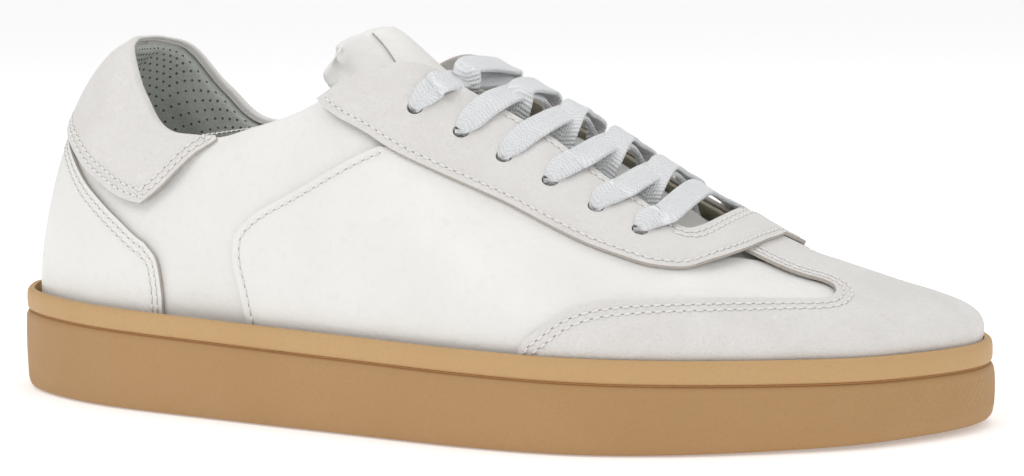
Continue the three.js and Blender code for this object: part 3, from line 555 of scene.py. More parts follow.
def lace_weave():
    f = Finish("lace_weave", colours().lace, 0.85, 0.25, 0.2, 0.4)
    tree = f.tree
    uv = step(tree, "ShaderNodeTexCoord").outputs["UV"]
    parts = step(tree, "ShaderNodeSeparateXYZ", {0: uv})
    across, length = parts.outputs[0], parts.outputs[1]
    chevron = f.sum(f.sum(f.sum(across, 0.5, "SUBTRACT"), 0.0, "ABSOLUTE"), 2.6, "MULTIPLY")
    phase = f.sum(f.sum(length, chevron, "ADD"), 2 * math.pi / 1.25, "MULTIPLY")
    rib = f.sum(phase, 0.0, "SINE")
    twist = f.sum(f.sum(across, 2 * math.pi * 11, "MULTIPLY"), 0.0, "SINE")
    plait_relief_and_groove_shade = f.sum(rib, f.sum(twist, 0.45, "MULTIPLY"), "ADD")
    # Painted shade: the lace colour darkens in the braid's grooves, where the plait relief is low.
    f.mottle(plait_relief_and_groove_shade, -0.1, -1.2, (0.86, 0.87, 0.88))
    f.mottle(f.noise(900, 2), 0.5, 0.8, (0.94, 0.945, 0.95))
    return f.relief(plait_relief_and_groove_shade, 0.22, 0.8).relief(f.noise(2400, 1), 0.12, 0.5)


def sewing_thread():
    f = Finish("sewing_thread", colours().thread, 0.6, 0.4, 0.2)
    return f.mottle(f.noise(2600, 2), 0.45, 0.75, (0.88, 0.87, 0.85)).relief(f.noise(3200, 1), 0.1, 0.7)


def plain(name, colour, rough, scale=700, depth=0.2, dark=(0.86, 0.85, 0.84)):
    f = Finish(name, colour, rough, 0.3)
    grain = f.noise(scale, 3, 0.6)
    return f.mottle(grain, 0.42, 0.75, dark).relief(grain, depth, 0.6)


def finish(name):
    """The named finish, made once."""
    if name not in FINISHES:
        c = colours()
        makers = {
            "leather": smooth_leather,
            "suede": napped_suede,
            "lining": lining_cloth,
            # rubber: the gum darkened below the foxing's tone as painted shade of the lower sidewall; the tread
            # rubber starts from it
            "rubber": lambda: moulded_rubber("gum_rubber", c.rubber),
            "foxing": lambda: moulded_rubber("foxing_rubber", c.foxing),
            "seam": lambda: plain("sole_seam", c.seam, 0.8, 1200, 0.1),
            "tread": lambda: moulded_rubber("tread_rubber", tinted(c.rubber, (0.9, 0.88, 0.85))[:3]),
            "lace": lace_weave,
            "thread": sewing_thread,
            # cut edge: darker partly as the raw edge's own tone, partly as a painted shadow line along each panel
            # edge
            "cut edge": lambda: plain("cut_edge_and_shadow_line", c.edge, 0.9, 1500, 0.15),
            # needle hole: dark grey discs that paint the shade inside the needle holes
            "needle hole shade": lambda: plain("needle_hole_shade", (0.3, 0.28, 0.26), 0.95),
            # perforation: near-black discs that paint the shade inside the lining's punched holes
            "perforation_shade": lambda: plain("perforation_shade", (0.13, 0.14, 0.13), 0.95),
            "backing": lambda: plain("backing_leather", (0.62, 0.56, 0.44), 0.8, 900, 0.15),
            "foam": lambda: plain("pad_foam", (0.7, 0.66, 0.54), 0.95, 1100, 0.4),
            "board": lambda: plain("fibre_board", (0.42, 0.33, 0.23), 0.9, 600, 0.2),
            "aglet": lambda: plain("aglet_film", (0.86, 0.87, 0.87), 0.25, 300, 0.05, (0.94, 0.94, 0.95)),
        }
        FINISHES[name] = makers[name]().material
    return FINISHES[name]


def finishes(*names):
    return [finish(n) for n in names]


# ------------------------------------------------------------------ soft pieces
def swell(obj, voxel, pressure, cap):
    """Pumps a closed pad up with cloth pressure; no point moves further than the cap allows."""
    mod = obj.modifiers.new("even mesh", "REMESH")
    mod.mode = "VOXEL"
    mod.voxel_size = voxel * MM
    apply_modifiers(obj)
    mod = obj.modifiers.new("relax", "SMOOTH")
    mod.factor = 0.5
    mod.iterations = 6
    apply_modifiers(obj)
    count = len(obj.data.vertices)
    rest = np.zeros(count * 3)
    obj.data.vertices.foreach_get("co", rest)
    rest = rest.reshape(-1, 3)
    scene = bpy.context.scene
    mod = obj.modifiers.new("pad", "CLOTH")
    cloth = mod.settings
    cloth.quality = 5
    cloth.mass = 0.3
    cloth.tension_stiffness = 12
    cloth.compression_stiffness = 12
    cloth.shear_stiffness = 5
    cloth.bending_stiffness = 0.4
    cloth.use_pressure = True
    cloth.uniform_pressure_force = pressure
    cloth.effector_weights.gravity = 0
    mod.collision_settings.use_collision = False
    mod.point_cache.frame_start = 1
    mod.point_cache.frame_end = 20
    for number in range(1, 21):
        scene.frame_set(number)
        bpy.context.view_layer.update()
    shape = obj.evaluated_get(bpy.context.evaluated_depsgraph_get()).data
    moved = np.zeros(count * 3)
    shape.vertices.foreach_get("co", moved)
    moved = moved.reshape(-1, 3) - rest
    obj.modifiers.clear()
    scene.frame_set(1)
    limit = cap * MM if np.isscalar(cap) else cap(rest / MM)[:, None] * MM
    length = np.linalg.norm(moved, axis=1, keepdims=True)
    moved *= limit * np.tanh(length / np.maximum(limit, 1e-9)) / np.maximum(length, 1e-12)
    obj.data.vertices.foreach_set("co", (rest + moved).ravel())
    mod = obj.modifiers.new("soften", "SUBSURF")
    mod.levels = mod.render_levels = 1
    apply_modifiers(obj)
    obj.data.polygons.foreach_set("use_smooth", np.ones(len(obj.data.polygons), bool))
    return obj


def tree_of(obj):
    """Ray target of a piece, in metres."""
    mesh = obj.data
    verts = np.zeros(len(mesh.vertices) * 3)
    mesh.vertices.foreach_get("co", verts)
    return BVHTree.FromPolygons(verts.reshape(-1, 3).tolist(), [tuple(p.vertices) for p in mesh.polygons])


def drop(tree, points, normals, reach=8.0, miss=None):
    """Height of a surface above each point, along its normal, in millimetres."""
    heights = np.full(points.shape[:-1], np.nan)
    flat = heights.reshape(-1)
    for k, (p, n) in enumerate(zip(points.reshape(-1, 3), normals.reshape(-1, 3))):
        hit = tree.ray_cast(Vector((p + n * reach) * MM), Vector(-n), 3 * reach * MM)
        if hit[0] is not None:
            flat[k] = reach - hit[3] / MM
    if miss is not None:
        heights[np.isnan(heights)] = miss
    return heights


# ------------------------------------------------------------------ sewing
def inset(rows, distance, side=1, steps=None):
    """A pattern line moved across the surface by so many millimetres."""
    t = np.linspace(0, 1, steps or len(rows) * 14)
    uw = along(rows, t)
    u, w = uw[:, 0], uw[:, 1]
    du = (place(u + 0.01, w) - place(u - 0.01, w)) / 0.02
    dw = (place(u, w + 0.005) - place(u, w - 0.005)) / 0.01
    p = place(u, w)
    tangent = unit(np.gradient(p, axis=0))
    inward = side * unit(np.cross(place_normal(u, w), tangent))
    a, b, c = (du * du).sum(-1), (du * dw).sum(-1), (dw * dw).sum(-1)
    e, f = (du * inward).sum(-1), (dw * inward).sum(-1)
    det = np.maximum(a * c - b * b, 1e-9)
    return np.stack([u + distance * (c * e - b * f) / det, w + distance * (a * f - b * e) / det], -1)


def mirror(uw):
    return np.stack([uw[:, 0], 2 - uw[:, 1]], -1)


def route(uw, level):
    """Points along a pattern line, about a millimetre apart."""
    p = place(uw[:, 0], uw[:, 1], level)
    length = np.concatenate([[0], np.cumsum(np.linalg.norm(np.diff(p, axis=0), axis=1))])
    t = np.linspace(0, length[-1], max(int(length[-1] / 1.1), 4))
    return np.stack([np.interp(t, length, p[:, k]) for k in range(3)], -1)


SEWN = []


def sew(obj, points, normals, pitch=None, length=None, thread=None, body=BODY, closed=False):
    """Notes a row of stitches to be made on a piece."""
    SEWN.append((obj, points, normals, pitch, length, thread, body, closed))


def sew_rows(obj, rows, body=BODY, **kinds):
    for uw in rows:
        sew(obj, place(uw[:, 0], uw[:, 1]), place_normal(uw[:, 0], uw[:, 1]), body=body, **kinds)


def stitch_shape(length, radius):
    """One arched stitch along x, its ends dipping into the hide."""
    stations = np.linspace(-1, 1, 7)
    a = np.arange(6) * math.pi / 3
    rings = []
    for x in stations:
        r = radius * math.sqrt(max(1 - x ** 4, 0.12))
        z = radius * (0.75 - 1.5 * x ** 4)
        rings.append(np.stack([np.full(6, x * length / 2), r * np.cos(a) * 1.15, z + r * np.sin(a)], -1))
    verts = np.concatenate(rings)
    faces = []
    for r in range(6):
        for k in range(6):
            q = (k + 1) % 6
            faces.append((r * 6 + k, r * 6 + q, r * 6 + 6 + q, r * 6 + 6 + k))
    faces += [tuple(range(5, -1, -1)), tuple(range(36, 42))]
    return verts, faces


def make_stitches(name, jobs, body):
    s = sizes()
    verts, faces, slots = [], [], []
    count = 0
    for obj, points, normals, pitch, length, thread, _, closed in jobs:
        pitch = pitch or s.stitch_pitch / MM
        length = length or s.stitch_length / MM
        radius = (thread or s.thread_width / MM) / 2
        tree = tree_of(obj)
        heights = drop(tree, points, normals, 6.0)
        good = ~np.isnan(heights)
        p = points[good] + normals[good] * heights[good][:, None]
        n = normals[good]
        if len(p) < 4:
            raise RuntimeError("a row of stitches misses " + obj.name)
        run = np.concatenate([[0], np.cumsum(np.linalg.norm(np.diff(p, axis=0), axis=1))])
        number = max(int(run[-1] / pitch), 1)
        at = (np.arange(number) + 0.5) * run[-1] / number
        centre = np.stack([np.interp(at, run, p[:, k]) for k in range(3)], -1)
        before = np.stack([np.interp(at - length / 2, run, p[:, k]) for k in range(3)], -1)
        after = np.stack([np.interp(at + length / 2, run, p[:, k]) for k in range(3)], -1)
        up = unit(np.stack([np.interp(at, run, n[:, k]) for k in range(3)], -1))
        x = unit(after - before)
        up = unit(up - x * (up * x).sum(-1, keepdims=True))
        y = np.cross(up, x)
        shape, quads = stitch_shape(length, radius)
        angle = np.arange(6) * math.pi / 3
        # Painted shade: a small dark disc at each end of a stitch stands for the shade inside the needle hole.
        hole_shade_disc = np.stack([radius * 0.7 * np.cos(angle), radius * 0.7 * np.sin(angle), np.full(6, 0.03)], -1)
        holes = [hole_shade_disc + np.array((side * (length / 2 + radius * 0.35), 0, 0)) for side in (-1, 1)]
        for k in range(number):
            frame_k = np.stack([x[k], y[k], up[k]])
            verts.append(centre[k] + shape @ frame_k)
            faces += [tuple(i + count for i in q) for q in quads]
            slots += [0] * len(quads)
            count += len(shape)
            for hole in holes:
                verts.append(centre[k] + hole @ frame_k)
                faces.append(tuple(range(count, count + 6)))
                slots.append(1)
                count += 6
    obj = add_object(name, np.concatenate(verts), faces, finishes("thread", "needle hole shade"), body, slots, sharp=60)
    return obj


# ------------------------------------------------------------------ sole
def point_in(ring, p):
    x, y = p[..., 0, None], p[..., 1, None]
    a, b = ring, np.roll(ring, -1, 0)
    crosses = (a[:, 1] > y) != (b[:, 1] > y)
    at = a[:, 0] + (y - a[:, 1]) * (b[:, 0] - a[:, 0]) / np.where(b[:, 1] == a[:, 1], 1e-9, b[:, 1] - a[:, 1])
    return (crosses & (x < at)).sum(-1) % 2 == 1


def make_cup():
    """Rubber cup: rounded foot, tall sidewall with a fine diamond relief round the forefoot."""
    m = 1176
    s = np.arange(m) * RIBS / m
    rows = [(8.5, lambda x: toe_spring(x) + 1.3), (7.2, lambda x: toe_spring(x) + 1.3),
            (6.6, lambda x: toe_spring(x) + 1.1), (6.2, toe_spring), (3.1, toe_spring),
            (2.2, lambda x: toe_spring(x) + 0.16), (1.5, lambda x: toe_spring(x) + 0.5),
            (0.95, lambda x: toe_spring(x) + 1.1), (0.6, lambda x: toe_spring(x) + 1.9),
            (0.4, lambda x: toe_spring(x) + 2.9)]
    for k in range(34):
        t = k / 33
        belly = 0.3 * (1 - t) ** 3 + 0.28 * t ** 4
        rows.append((belly, lambda x, t=t: (toe_spring(x) + 3.5) * (1 - t) + (cup_top(x) - 1.6) * t))
    rows += [(0.42, lambda x: cup_top(x) - 1.1), (0.66, lambda x: cup_top(x) - 0.6),
             (1.05, lambda x: cup_top(x) - 0.2), (1.6, cup_top), (CUP_WALL, cup_top),
             (CUP_WALL, lambda x: np.full_like(x, CUP_FLOOR))]
    rings = np.stack([sole_ring(inset_by, z, m) for inset_by, z in rows])
    run = np.concatenate([[0], np.cumsum(np.linalg.norm(np.diff(rings[12, :, :2], axis=0), axis=1))])
    out = outward(s)
    front = smooth((rings[12, :, 0] / KX - 48) / 26)
    pitch = run[-1] / round(run[-1] / 2.6)
    for r in range(11, 43):
        z = rings[r, :, 2]
        t = (r - 10) / 33
        fade = smooth(min(t / 0.1, (1 - t) / 0.08))
        a = np.cos(2 * math.pi * (run / pitch + z / 2.6))
        b = np.cos(2 * math.pi * (run / pitch - z / 2.6))
        relief = np.maximum(np.maximum(a, b), 0) ** 2 - 0.5
        rings[r] += out * (0.17 * relief * fade * front)[:, None]
    obj = loft("outsole_cup_rubber", rings, finishes("rubber"))
    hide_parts("outsole_cup")
    return obj


def make_tread():
    """Short herringbone bars under the sole, flush with the rim that the shoe stands on."""
    ring = edge(np.arange(448) * RIBS / 448, np.full(448, 9.5))[:, :2]
    verts, faces, count = [], [], 0
    length, width = 4.6, 1.35
    for i in range(-24, 25):
        for j in range(-12, 13):
            turn = math.radians(38 if j % 2 else -38)
            c = np.array((i * 6.4 * KX + (3.2 if j % 2 else 0), j * 5.2 * KY))
            ax = np.array((math.cos(turn), math.sin(turn)))
            ay = np.array((-ax[1], ax[0]))
            loop = [c + ax * length * a + ay * width * b for a, b in
                    ((-1, -0.6), (-0.86, -1), (0.86, -1), (1, -0.6), (1, 0.6), (0.86, 1), (-0.86, 1), (-1, 0.6))]
            loop = np.array(loop)
            if not point_in(ring, loop).all():
                continue
            for z, grow in ((1.5, 1.0), (0.25, 0.9), (0.02, 0.78)):
                ring_z = c + (loop - c) * grow
                verts.append(np.column_stack([ring_z, z + toe_spring(ring_z[:, 0])]))
            for r in range(2):
                for k in range(8):
                    q = (k + 1) % 8
                    a, b = count + r * 8, count + (r + 1) * 8
                    faces.append((a + k, b + k, b + q, a + q))
            faces.append(tuple(count + 16 + k for k in range(7, -1, -1)))
            faces.append(tuple(count + k for k in range(8)))
            count += 24
    obj = add_object("outsole_tread_bars", np.concatenate(verts), faces, finishes("tread"))
    return obj


def make_foxing():
    """Band round the top of the cup, lipped at both edges."""
    m = 896
    low = lambda x: cup_top(x) + GROOVE
    rows = [(1.5, low), (1.05, lambda x: low(x) + 0.18), (0.8, lambda x: low(x) + 0.55),
            (0.68, lambda x: low(x) + 1.2), (0.62, lambda x: low(x) + 2.2), (0.62, lambda x: sole_top(x) - 2.6),
            (0.68, lambda x: sole_top(x) - 1.5), (0.82, lambda x: sole_top(x) - 0.75),
            (1.1, lambda x: sole_top(x) - 0.25), (1.5, lambda x: sole_top(x) + 0.05),
            (1 + BAND_THICK, lambda x: sole_top(x) + 0.05), (1 + BAND_THICK, low)]
    rings = np.stack([sole_ring(inset_by, z, m) for inset_by, z in rows])
    obj = loft("foxing_band_rubber", rings, finishes("foxing"), caps=False)
    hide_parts("foxing_band")
    gap = [(1.6, lambda x: cup_top(x) - 0.1), (1.35, lambda x: cup_top(x) + 0.05), (1.35, lambda x: low(x) - 0.05),
           (1.6, lambda x: low(x) + 0.1), (2.6, lambda x: low(x) + 0.1), (2.6, lambda x: cup_top(x) - 0.1)]
    filler = loft("sole_seam_cement", np.stack([sole_ring(i, z, m) for i, z in gap]), finishes("seam"), caps=False)
    return obj


def make_footbed():
    """Removable cushion inside the shoe, dished at the heel."""
    base = lambda x: cup_top(x) + GAP + BOARD_THICK
    rows = [(14.2, lambda x: base(x) + 0.3), (13.6, lambda x: base(x) + 1.2), (13.6, lambda x: base(x) + 2.6),
            (14, lambda x: base(x) + 4.1), (15, lambda x: base(x) + FOOTBED_THICK - 0.5),
            (17, lambda x: base(x) + FOOTBED_THICK - 0.8), (24, lambda x: base(x) + FOOTBED_THICK - 1.5)]
    obj = loft("footbed_cushion", np.stack([sole_ring(i, z, 224) for i, z in rows]), finishes("lining"))
    swell(obj, 2.6, 3.0, 0.8)
    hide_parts("footbed")
    return obj


# ------------------------------------------------------------------ padded collar
def collar_curve(s, q):
    """Foot side of the collar: q runs from the topline down to the root of the padding."""
    s, q = np.broadcast_arrays(np.asarray(s, float), np.asarray(q, float))
    k = np.mod(s, RIBS)
    a = surface(k, 1) + normal(k, 1) * (-2.3 * smooth((np.abs(s) - 4.1) / 0.4))[..., None]
    b = surface(k, ROOT_V) + normal(k, ROOT_V) * LEVEL_LINING[0]
    inward = -outward(k)
    fade = (1 - 0.1 * smooth((np.abs(s) - 3) / 2.4))[..., None]
    a1 = a + inward * COLLAR_ROLL * fade + np.array((0, 0, 1.5))
    a2 = b + inward * 9 * fade
    a2[..., 2] += 0.55 * (a[..., 2] - b[..., 2])
    w, q = 1 - q[..., None], q[..., None]
    return w ** 3 * a + 3 * w * w * q * a1 + 3 * w * q * q * a2 + q ** 3 * b


def cover(s, h):
    """Topline surface: h below 1 lies on the outside, from 1 to 2 on the foot side, beyond that on the heel."""
    s, h = np.broadcast_arrays(np.asarray(s, float), np.asarray(h, float))
    k = np.mod(s, RIBS)
    v = np.minimum(h, 1)
    sink = -2.3 * smooth((np.abs(s) - 4.1) / 0.4) * smooth((h - 0.7) / 0.3)
    outer = surface(k, v) + normal(k, v) * sink[..., None]
    inner = collar_curve(s, np.clip(h - 1, 0, 1))
    deep_v = np.maximum(ROOT_V * (3 - h) - 0.03 * (h - 2), -0.03)
    deep = surface(k, deep_v) + normal(k, deep_v) * LEVEL_LINING[0]
    h = h[..., None]
    return np.where(h <= 1, outer, np.where(h <= 2, inner, deep))


def cover_normal(s, h):
    ds = cover(np.asarray(s) + 0.04, h) - cover(np.asarray(s) - 0.04, h)
    dh = cover(s, np.asarray(h) + 0.05) - cover(s, np.asarray(h) - 0.05)
    return unit(np.cross(ds, dh))


PAD = {}
TOPSEAM = 1.2


def make_collar_pad():
    """Foam roll between the quarters and the lining, pumped up so that it crowns between its seams."""
    s = np.linspace(-4.75, 4.75, 150)
    rows = [cover(s, v) + cover_normal(s, v) * -4.4 for v in (0.56, 0.66, 0.76, 0.85)]
    rows.append(cover(s, 0.93) + cover_normal(s, 0.93) * -3.2)
    for q, sink in ((0.02, 2.7), (0.12, 2.6), (0.24, 2.5), (0.36, 2.2), (0.48, 2.1), (0.6, 2.1), (0.72, 2.5)):
        rows.append(cover(s, 1 + q) + cover_normal(s, 1 + q) * -sink)
    rings = np.stack(rows, 1)
    obj = loft("collar_padding", rings, finishes("foam"))
    swell(obj, 1.9, 4.0, 1.5)
    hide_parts("collar_foam")
    PAD["tree"] = tree_of(obj)
    return obj


def pad_height(s, h):
    """Crown that the padding gives to whatever lies on it, in millimetres above the plain surface."""
    p, n = cover(s, h), cover_normal(s, h)
    up = drop(PAD["tree"], p, n, 6.0, -2.0) + 1.15
    weight = smooth((h - 0.86) / 0.12) * smooth((1.8 - h) / 0.25) * smooth((4.75 - np.abs(s)) / 0.3)
    up = np.clip(up, -0.9, 1.1) * weight
    for _ in range(3):
        up[1:-1] = 0.25 * up[:-2] + 0.5 * up[1:-1] + 0.25 * up[2:]
        up[:, 1:-1] = 0.25 * up[:, :-2] + 0.5 * up[:, 1:-1] + 0.25 * up[:, 2:]
    return up


def lining_sink(h):
    """The lining tucks under the topline seam."""
    return -1.25 * smooth((TOPSEAM + 0.13 - h) / 0.13)


def make_heel_lining():
    """Perforated lining over the padding and down the heel."""
    s, h = np.meshgrid(np.linspace(-COLLAR_END, COLLAR_END, 190),
                       np.concatenate([np.linspace(TOPSEAM - 0.06, 2, 70), np.linspace(2.06, 3, 16)]),
                       indexing="ij")
    p, n = cover(s, h), cover_normal(s, h)
    rise = pad_height(s, h) + lining_sink(h) + 0.12 * ripple(p, 16, 1, 5)
    top = p + n * rise[..., None]
    obj = shell("heel_lining_cloth", top, top - n * 0.9, finishes("lining"))
    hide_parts("heel_lining")
    return obj


def make_perforations(lining):
    """Rows of flat dark discs over the collar lining, staggered: painted shade standing for the punched holes."""
    pitch = sizes().perforation_pitch / MM
    radius = sizes().perforation_width / MM / 2
    tree = tree_of(lining)
    spots, ups = [], []
    length = np.linalg.norm(np.diff(cover(np.linspace(-4.9, 4.9, 400), 1.3), axis=0), axis=1).sum()
    columns = int(length / pitch * 1.41)
    heights = 1.3 + np.arange(0, 0.62, pitch / 1.41 / 46)
    s = np.linspace(-4.9, 4.9, columns)
    for row, h in enumerate(heights):
        part = s[row % 2::2]
        p, n = cover(part, np.full_like(part, h)), cover_normal(part, np.full_like(part, h))
        lift = drop(tree, p, n, 5.0)
        good = ~np.isnan(lift)
        spots.append((p + n * (lift[:, None] + 0.03))[good])
        ups.append(n[good])
    spots, ups = np.concatenate(spots), np.concatenate(ups)
    side = unit(np.cross(ups, np.array((0.3, 0.2, 1.0))))
    other = np.cross(ups, side)
    a = np.arange(8) * math.pi / 4
    turn = np.cos(a)[None, :, None] * side[:, None] + np.sin(a)[None, :, None] * other[:, None]
    # Each disc is flat and dark, painted shade of a hole rather than a cut.
    ring = spots[:, None] + radius * turn
    faces = np.arange(len(spots) * 8).reshape(-1, 8)
    obj = add_object("lining_perforation_shade_discs", ring.reshape(-1, 3), faces.tolist(), finishes("perforation_shade"))
    return obj


# ------------------------------------------------------------------ upper panels
REAR_TOP = 1.2


def make_rear_quarter(side, medial):
    """Leather from the back seam to the front quarter, rolled over the collar."""
    names = finishes("leather", "cut edge")
    front = ((5.32, -TUCK), (5.26, 0.12), (5.16, 0.28), (5.14, 0.4), (5.3, 0.48), (5.66, 0.55), (6.04, 0.64),
             (6.0, 0.73), (5.86, 0.84), (5.72, 0.95))
    body = coons(((0.06, -TUCK), (0.06, 0.45), (0.06, 0.93)), front,
                 ((0.06, -TUCK), (2.8, -TUCK), (5.32, -TUCK)),
                 ((0.06, 0.93), (1.5, 0.93), (3, 0.93), (4.4, 0.95), (5.72, 0.95)))
    a, b = np.meshgrid(np.linspace(0, 1, 150), np.linspace(0, 1, 76), indexing="ij")
    u, v = body(a, np.minimum(b / 0.78, 1))
    over = np.maximum(b - 0.78, 0) / 0.22
    crest = np.where(np.abs(u - 0) < 5.2, 1, 1 - smooth((u - 5.2) / 0.3))
    h = v + (REAR_TOP - v) * smooth(over / 1.0) * crest * (over > 0) + 0.04 * over * (1 - crest)
    sign = -1 if medial else 1
    s = sign * u
    p, n = cover(s, h), cover_normal(s, h)
    w = flip(np.minimum(v, 1), medial)
    flat = h <= 0.7
    flat_n = place_normal(u, w)
    n = np.where(flat[..., None], flat_n, n)
    ramp = smooth((h - 0.7) / 0.28)
    level = (LEVEL_A[1] - 0.08) * (1 - ramp) + (-0.3) * ramp
    level = level - 1.0 * smooth((h - (TOPSEAM - 0.09)) / 0.09)
    level = level + pad_height(s, h) + ripple(p, 30, 0.12, 3 if medial else 2)
    top = p + n * level[..., None]
    low = top - n * SKIN * 0.8
    if medial:
        top, low = top[:, ::-1], low[:, ::-1]
    obj = shell("rear_quarter_%s_leather" % side, top, low, names)
    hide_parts("rear_quarter_" + side)
    return obj


def make_front_quarter(side, medial):
    """Leather under the eyestay and the toe guard, sewn over the rear quarter."""
    front = coons(SEAM, ((11.3, -TUCK), (11.35, 0.2), (11.3, 0.4), (11.05, 0.68)),
                  ((5.2, -TUCK), (7, -TUCK), (9, -TUCK), (11.3, -TUCK)),
                  ((6.02, 0.63), (6.5, 0.588), (7.2, 0.53), (7.9, 0.51), (8.6, 0.515), (9, 0.565), (9.4, 0.68),
                   (10, 0.755), (11.05, 0.68)))

    def uw(a, b):
        u, w = front(a, b)
        return u, flip(w, medial)

    seam = inset(SEAM, 2.3, -1)
    rows = [mirror(seam) if medial else seam]
    obj = panel("front_quarter_%s_leather" % side, uw, 180, 60, LEVEL_B, finishes("leather", "cut edge"),
                [route(r, LEVEL_B[1]) for r in rows], seed=7 if medial else 6)
    sew_rows(obj, rows)
    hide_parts("front_quarter_" + side)
    return obj


def make_heel_cover():
    """Leather cover round the heel, double sewn."""
    left = tuple((-u, w) for u, w in HEEL_SIDE)
    cover_map = coons(left, HEEL_SIDE, tuple((x, -TUCK) for x in (-4.44, -2.2, 0, 2.2, 4.44)), HEEL_TOP)

    def uw(a, b):
        return wrap(*cover_map(a, b))

    top_line = along(HEEL_TOP[4:], np.linspace(0, 1, 60))
    side_line = along(HEEL_SIDE[::-1], np.linspace(0, 1, 40))
    line = np.concatenate([top_line, side_line[1:]])
    rows = []
    for d in (1.9, 4.0):
        r = inset(line, d, -1, 160)
        rows += [r, mirror(r)]
    obj = panel("heel_cover_leather", uw, 250, 70, LEVEL_B, finishes("leather", "cut edge"),
                [route(r, LEVEL_B[1]) for r in rows], groove=0.24, seed=9)
    sew_rows(obj, rows)
    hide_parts("heel_cover")
    return obj


def make_collar_patch():
    """Suede patch round the back of the collar, rolled over the topline to the lining."""
    left = tuple((-u, w) for u, w in PATCH_SIDE)
    top = tuple((x, 0.975) for x in (-4.44, -3, -1.5, 0, 1.5, 3, 4.44))
    patch = coons(left, PATCH_SIDE, PATCH_LOW, top)
    a, b = np.meshgrid(np.linspace(0, 1, 250), np.linspace(0, 1, 90), indexing="ij")
    s, v = patch(a, np.minimum(b / 0.66, 1))
    over = np.maximum(b - 0.66, 0) / 0.34
    h = v + (TOPSEAM + 0.012 - v) * over
    s = s * (1 - 0.05 * over)
    p, n = cover(s, h), cover_normal(s, h)
    k = np.mod(s, RIBS)
    n = np.where((h <= 0.8)[..., None], normal(k, np.minimum(h, 1)), n)
    level = LEVEL_C[1] + pad_height(s, h) - 0.75 * smooth((h - (TOPSEAM - 0.08)) / 0.09)
    level = level + ripple(p, 26, 0.12, 12)
    upper = p + n * level[..., None]
    line = np.concatenate([along(PATCH_LOW[4:], np.linspace(0, 1, 60)),
                           along(PATCH_SIDE, np.linspace(0, 1, 40))[1:]])
    rows = []
    for d in (1.9, 4.0):
        r = inset(line, d, 1, 160)
        rows += [r, mirror(r)]
    upper = press(upper, n, [route(r, LEVEL_C[1]) for r in rows], 0.26, 1.4)
    obj = shell("collar_patch_suede", upper, upper - n * 1.0, finishes("suede", "cut edge"))
    sew_rows(obj, rows)
    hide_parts("collar_patch")
    return obj


def dome(a, b):
    return 9.35 + 4.65 * a ** 0.85, -0.04 + 2.08 * b


def make_vamp():
    obj = panel("vamp_leather", dome, 70, 120, LEVEL_A - 0.1, finishes("leather", "cut edge"), seed=15)
    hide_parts("vamp")
    return obj


def make_toe_guard():
    """Suede mudguard: two wings, the toe cap and the bar that runs up to the eyestay."""
    tip = GUARD[-1][0]
    wing = along(GUARD, np.linspace(0, 1, 500))
    bar = along(TBAR, np.linspace(0, 1, 300))[::-1]
    spread = np.linspace(0, 1, 118)
    u = np.concatenate([7.42 + (tip - 7.42) * (1 - (1 - spread) ** 2.0), np.linspace(tip, 14, 75)[1:]])
    low = np.interp(u, wing[:, 0], wing[:, 1])
    keep_bar = np.maximum.accumulate(bar[:, 0])
    high = np.where(u < 9.2, 0.739, np.interp(u, keep_bar, bar[:, 1]))
    past = np.maximum(u - tip, 0)
    low = np.where(u >= tip, 0.6 - 0.0006 - 0.02 * smooth(past), low)
    high = np.where(u >= tip, 0.6 + 0.0006 + 0.02 * smooth(past), high)
    first = -TUCK - 0.015
    zone_a = np.linspace(0, 1, 46)
    zone_b = np.linspace(0, 1, 34)
    rows_a = first + (low[:, None] - first) * zone_a
    rows_b = high[:, None] + (1 - high[:, None]) * zone_b
    half = np.concatenate([rows_a, rows_b], 1)
    w = np.concatenate([half, 2 - half[:, -2::-1]], 1)
    u2 = np.repeat(u[:, None], w.shape[1], 1)
    cells_u, na, nb = len(u) - 1, len(zone_a), len(zone_b)
    col = np.concatenate([np.zeros(na - 1), [1], np.full(nb - 1, 2)])
    col = np.concatenate([col, col[::-1]])
    mid_u = (u[:-1] + u[1:]) / 2
    keep = np.zeros((cells_u, len(col)), bool)
    keep[:, col == 0] = True
    keep[:, col == 1] = (mid_u > tip)[:, None]
    keep[:, col == 2] = (mid_u > 9.2)[:, None]
    p, n = place(u2, w), place_normal(u2, w)
    wavy = ripple(p, 30, 0.12, 21) + 0.15
    top = p + n * (LEVEL_C[1] + wavy)[..., None]
    base = p + n * (LEVEL_C[0] + wavy)[..., None]
    rows = []
    edge_line = np.concatenate([along(GUARD, np.linspace(0, 1, 120)), along(TBAR, np.linspace(0, 1, 80))[1:]])
    for d in (2.1, 4.3):
        r = inset(edge_line, d, -1, 260)
        r = r[(r[:, 1] > 0.0) & (r[:, 1] < 0.985)]
        rows += [r, mirror(r)]
    top = press(top, n, [route(r, LEVEL_C[1]) for r in rows], 0.3, 1.4)
    obj = shell("toe_guard_suede", top, base, finishes("suede", "cut edge"), keep=keep)
    sew_rows(obj, rows)
    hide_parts("toe_guard")
    return obj


def stay_lift(u):
    return (SKIN + GAP) * smooth((u - 8.95) / 0.3)


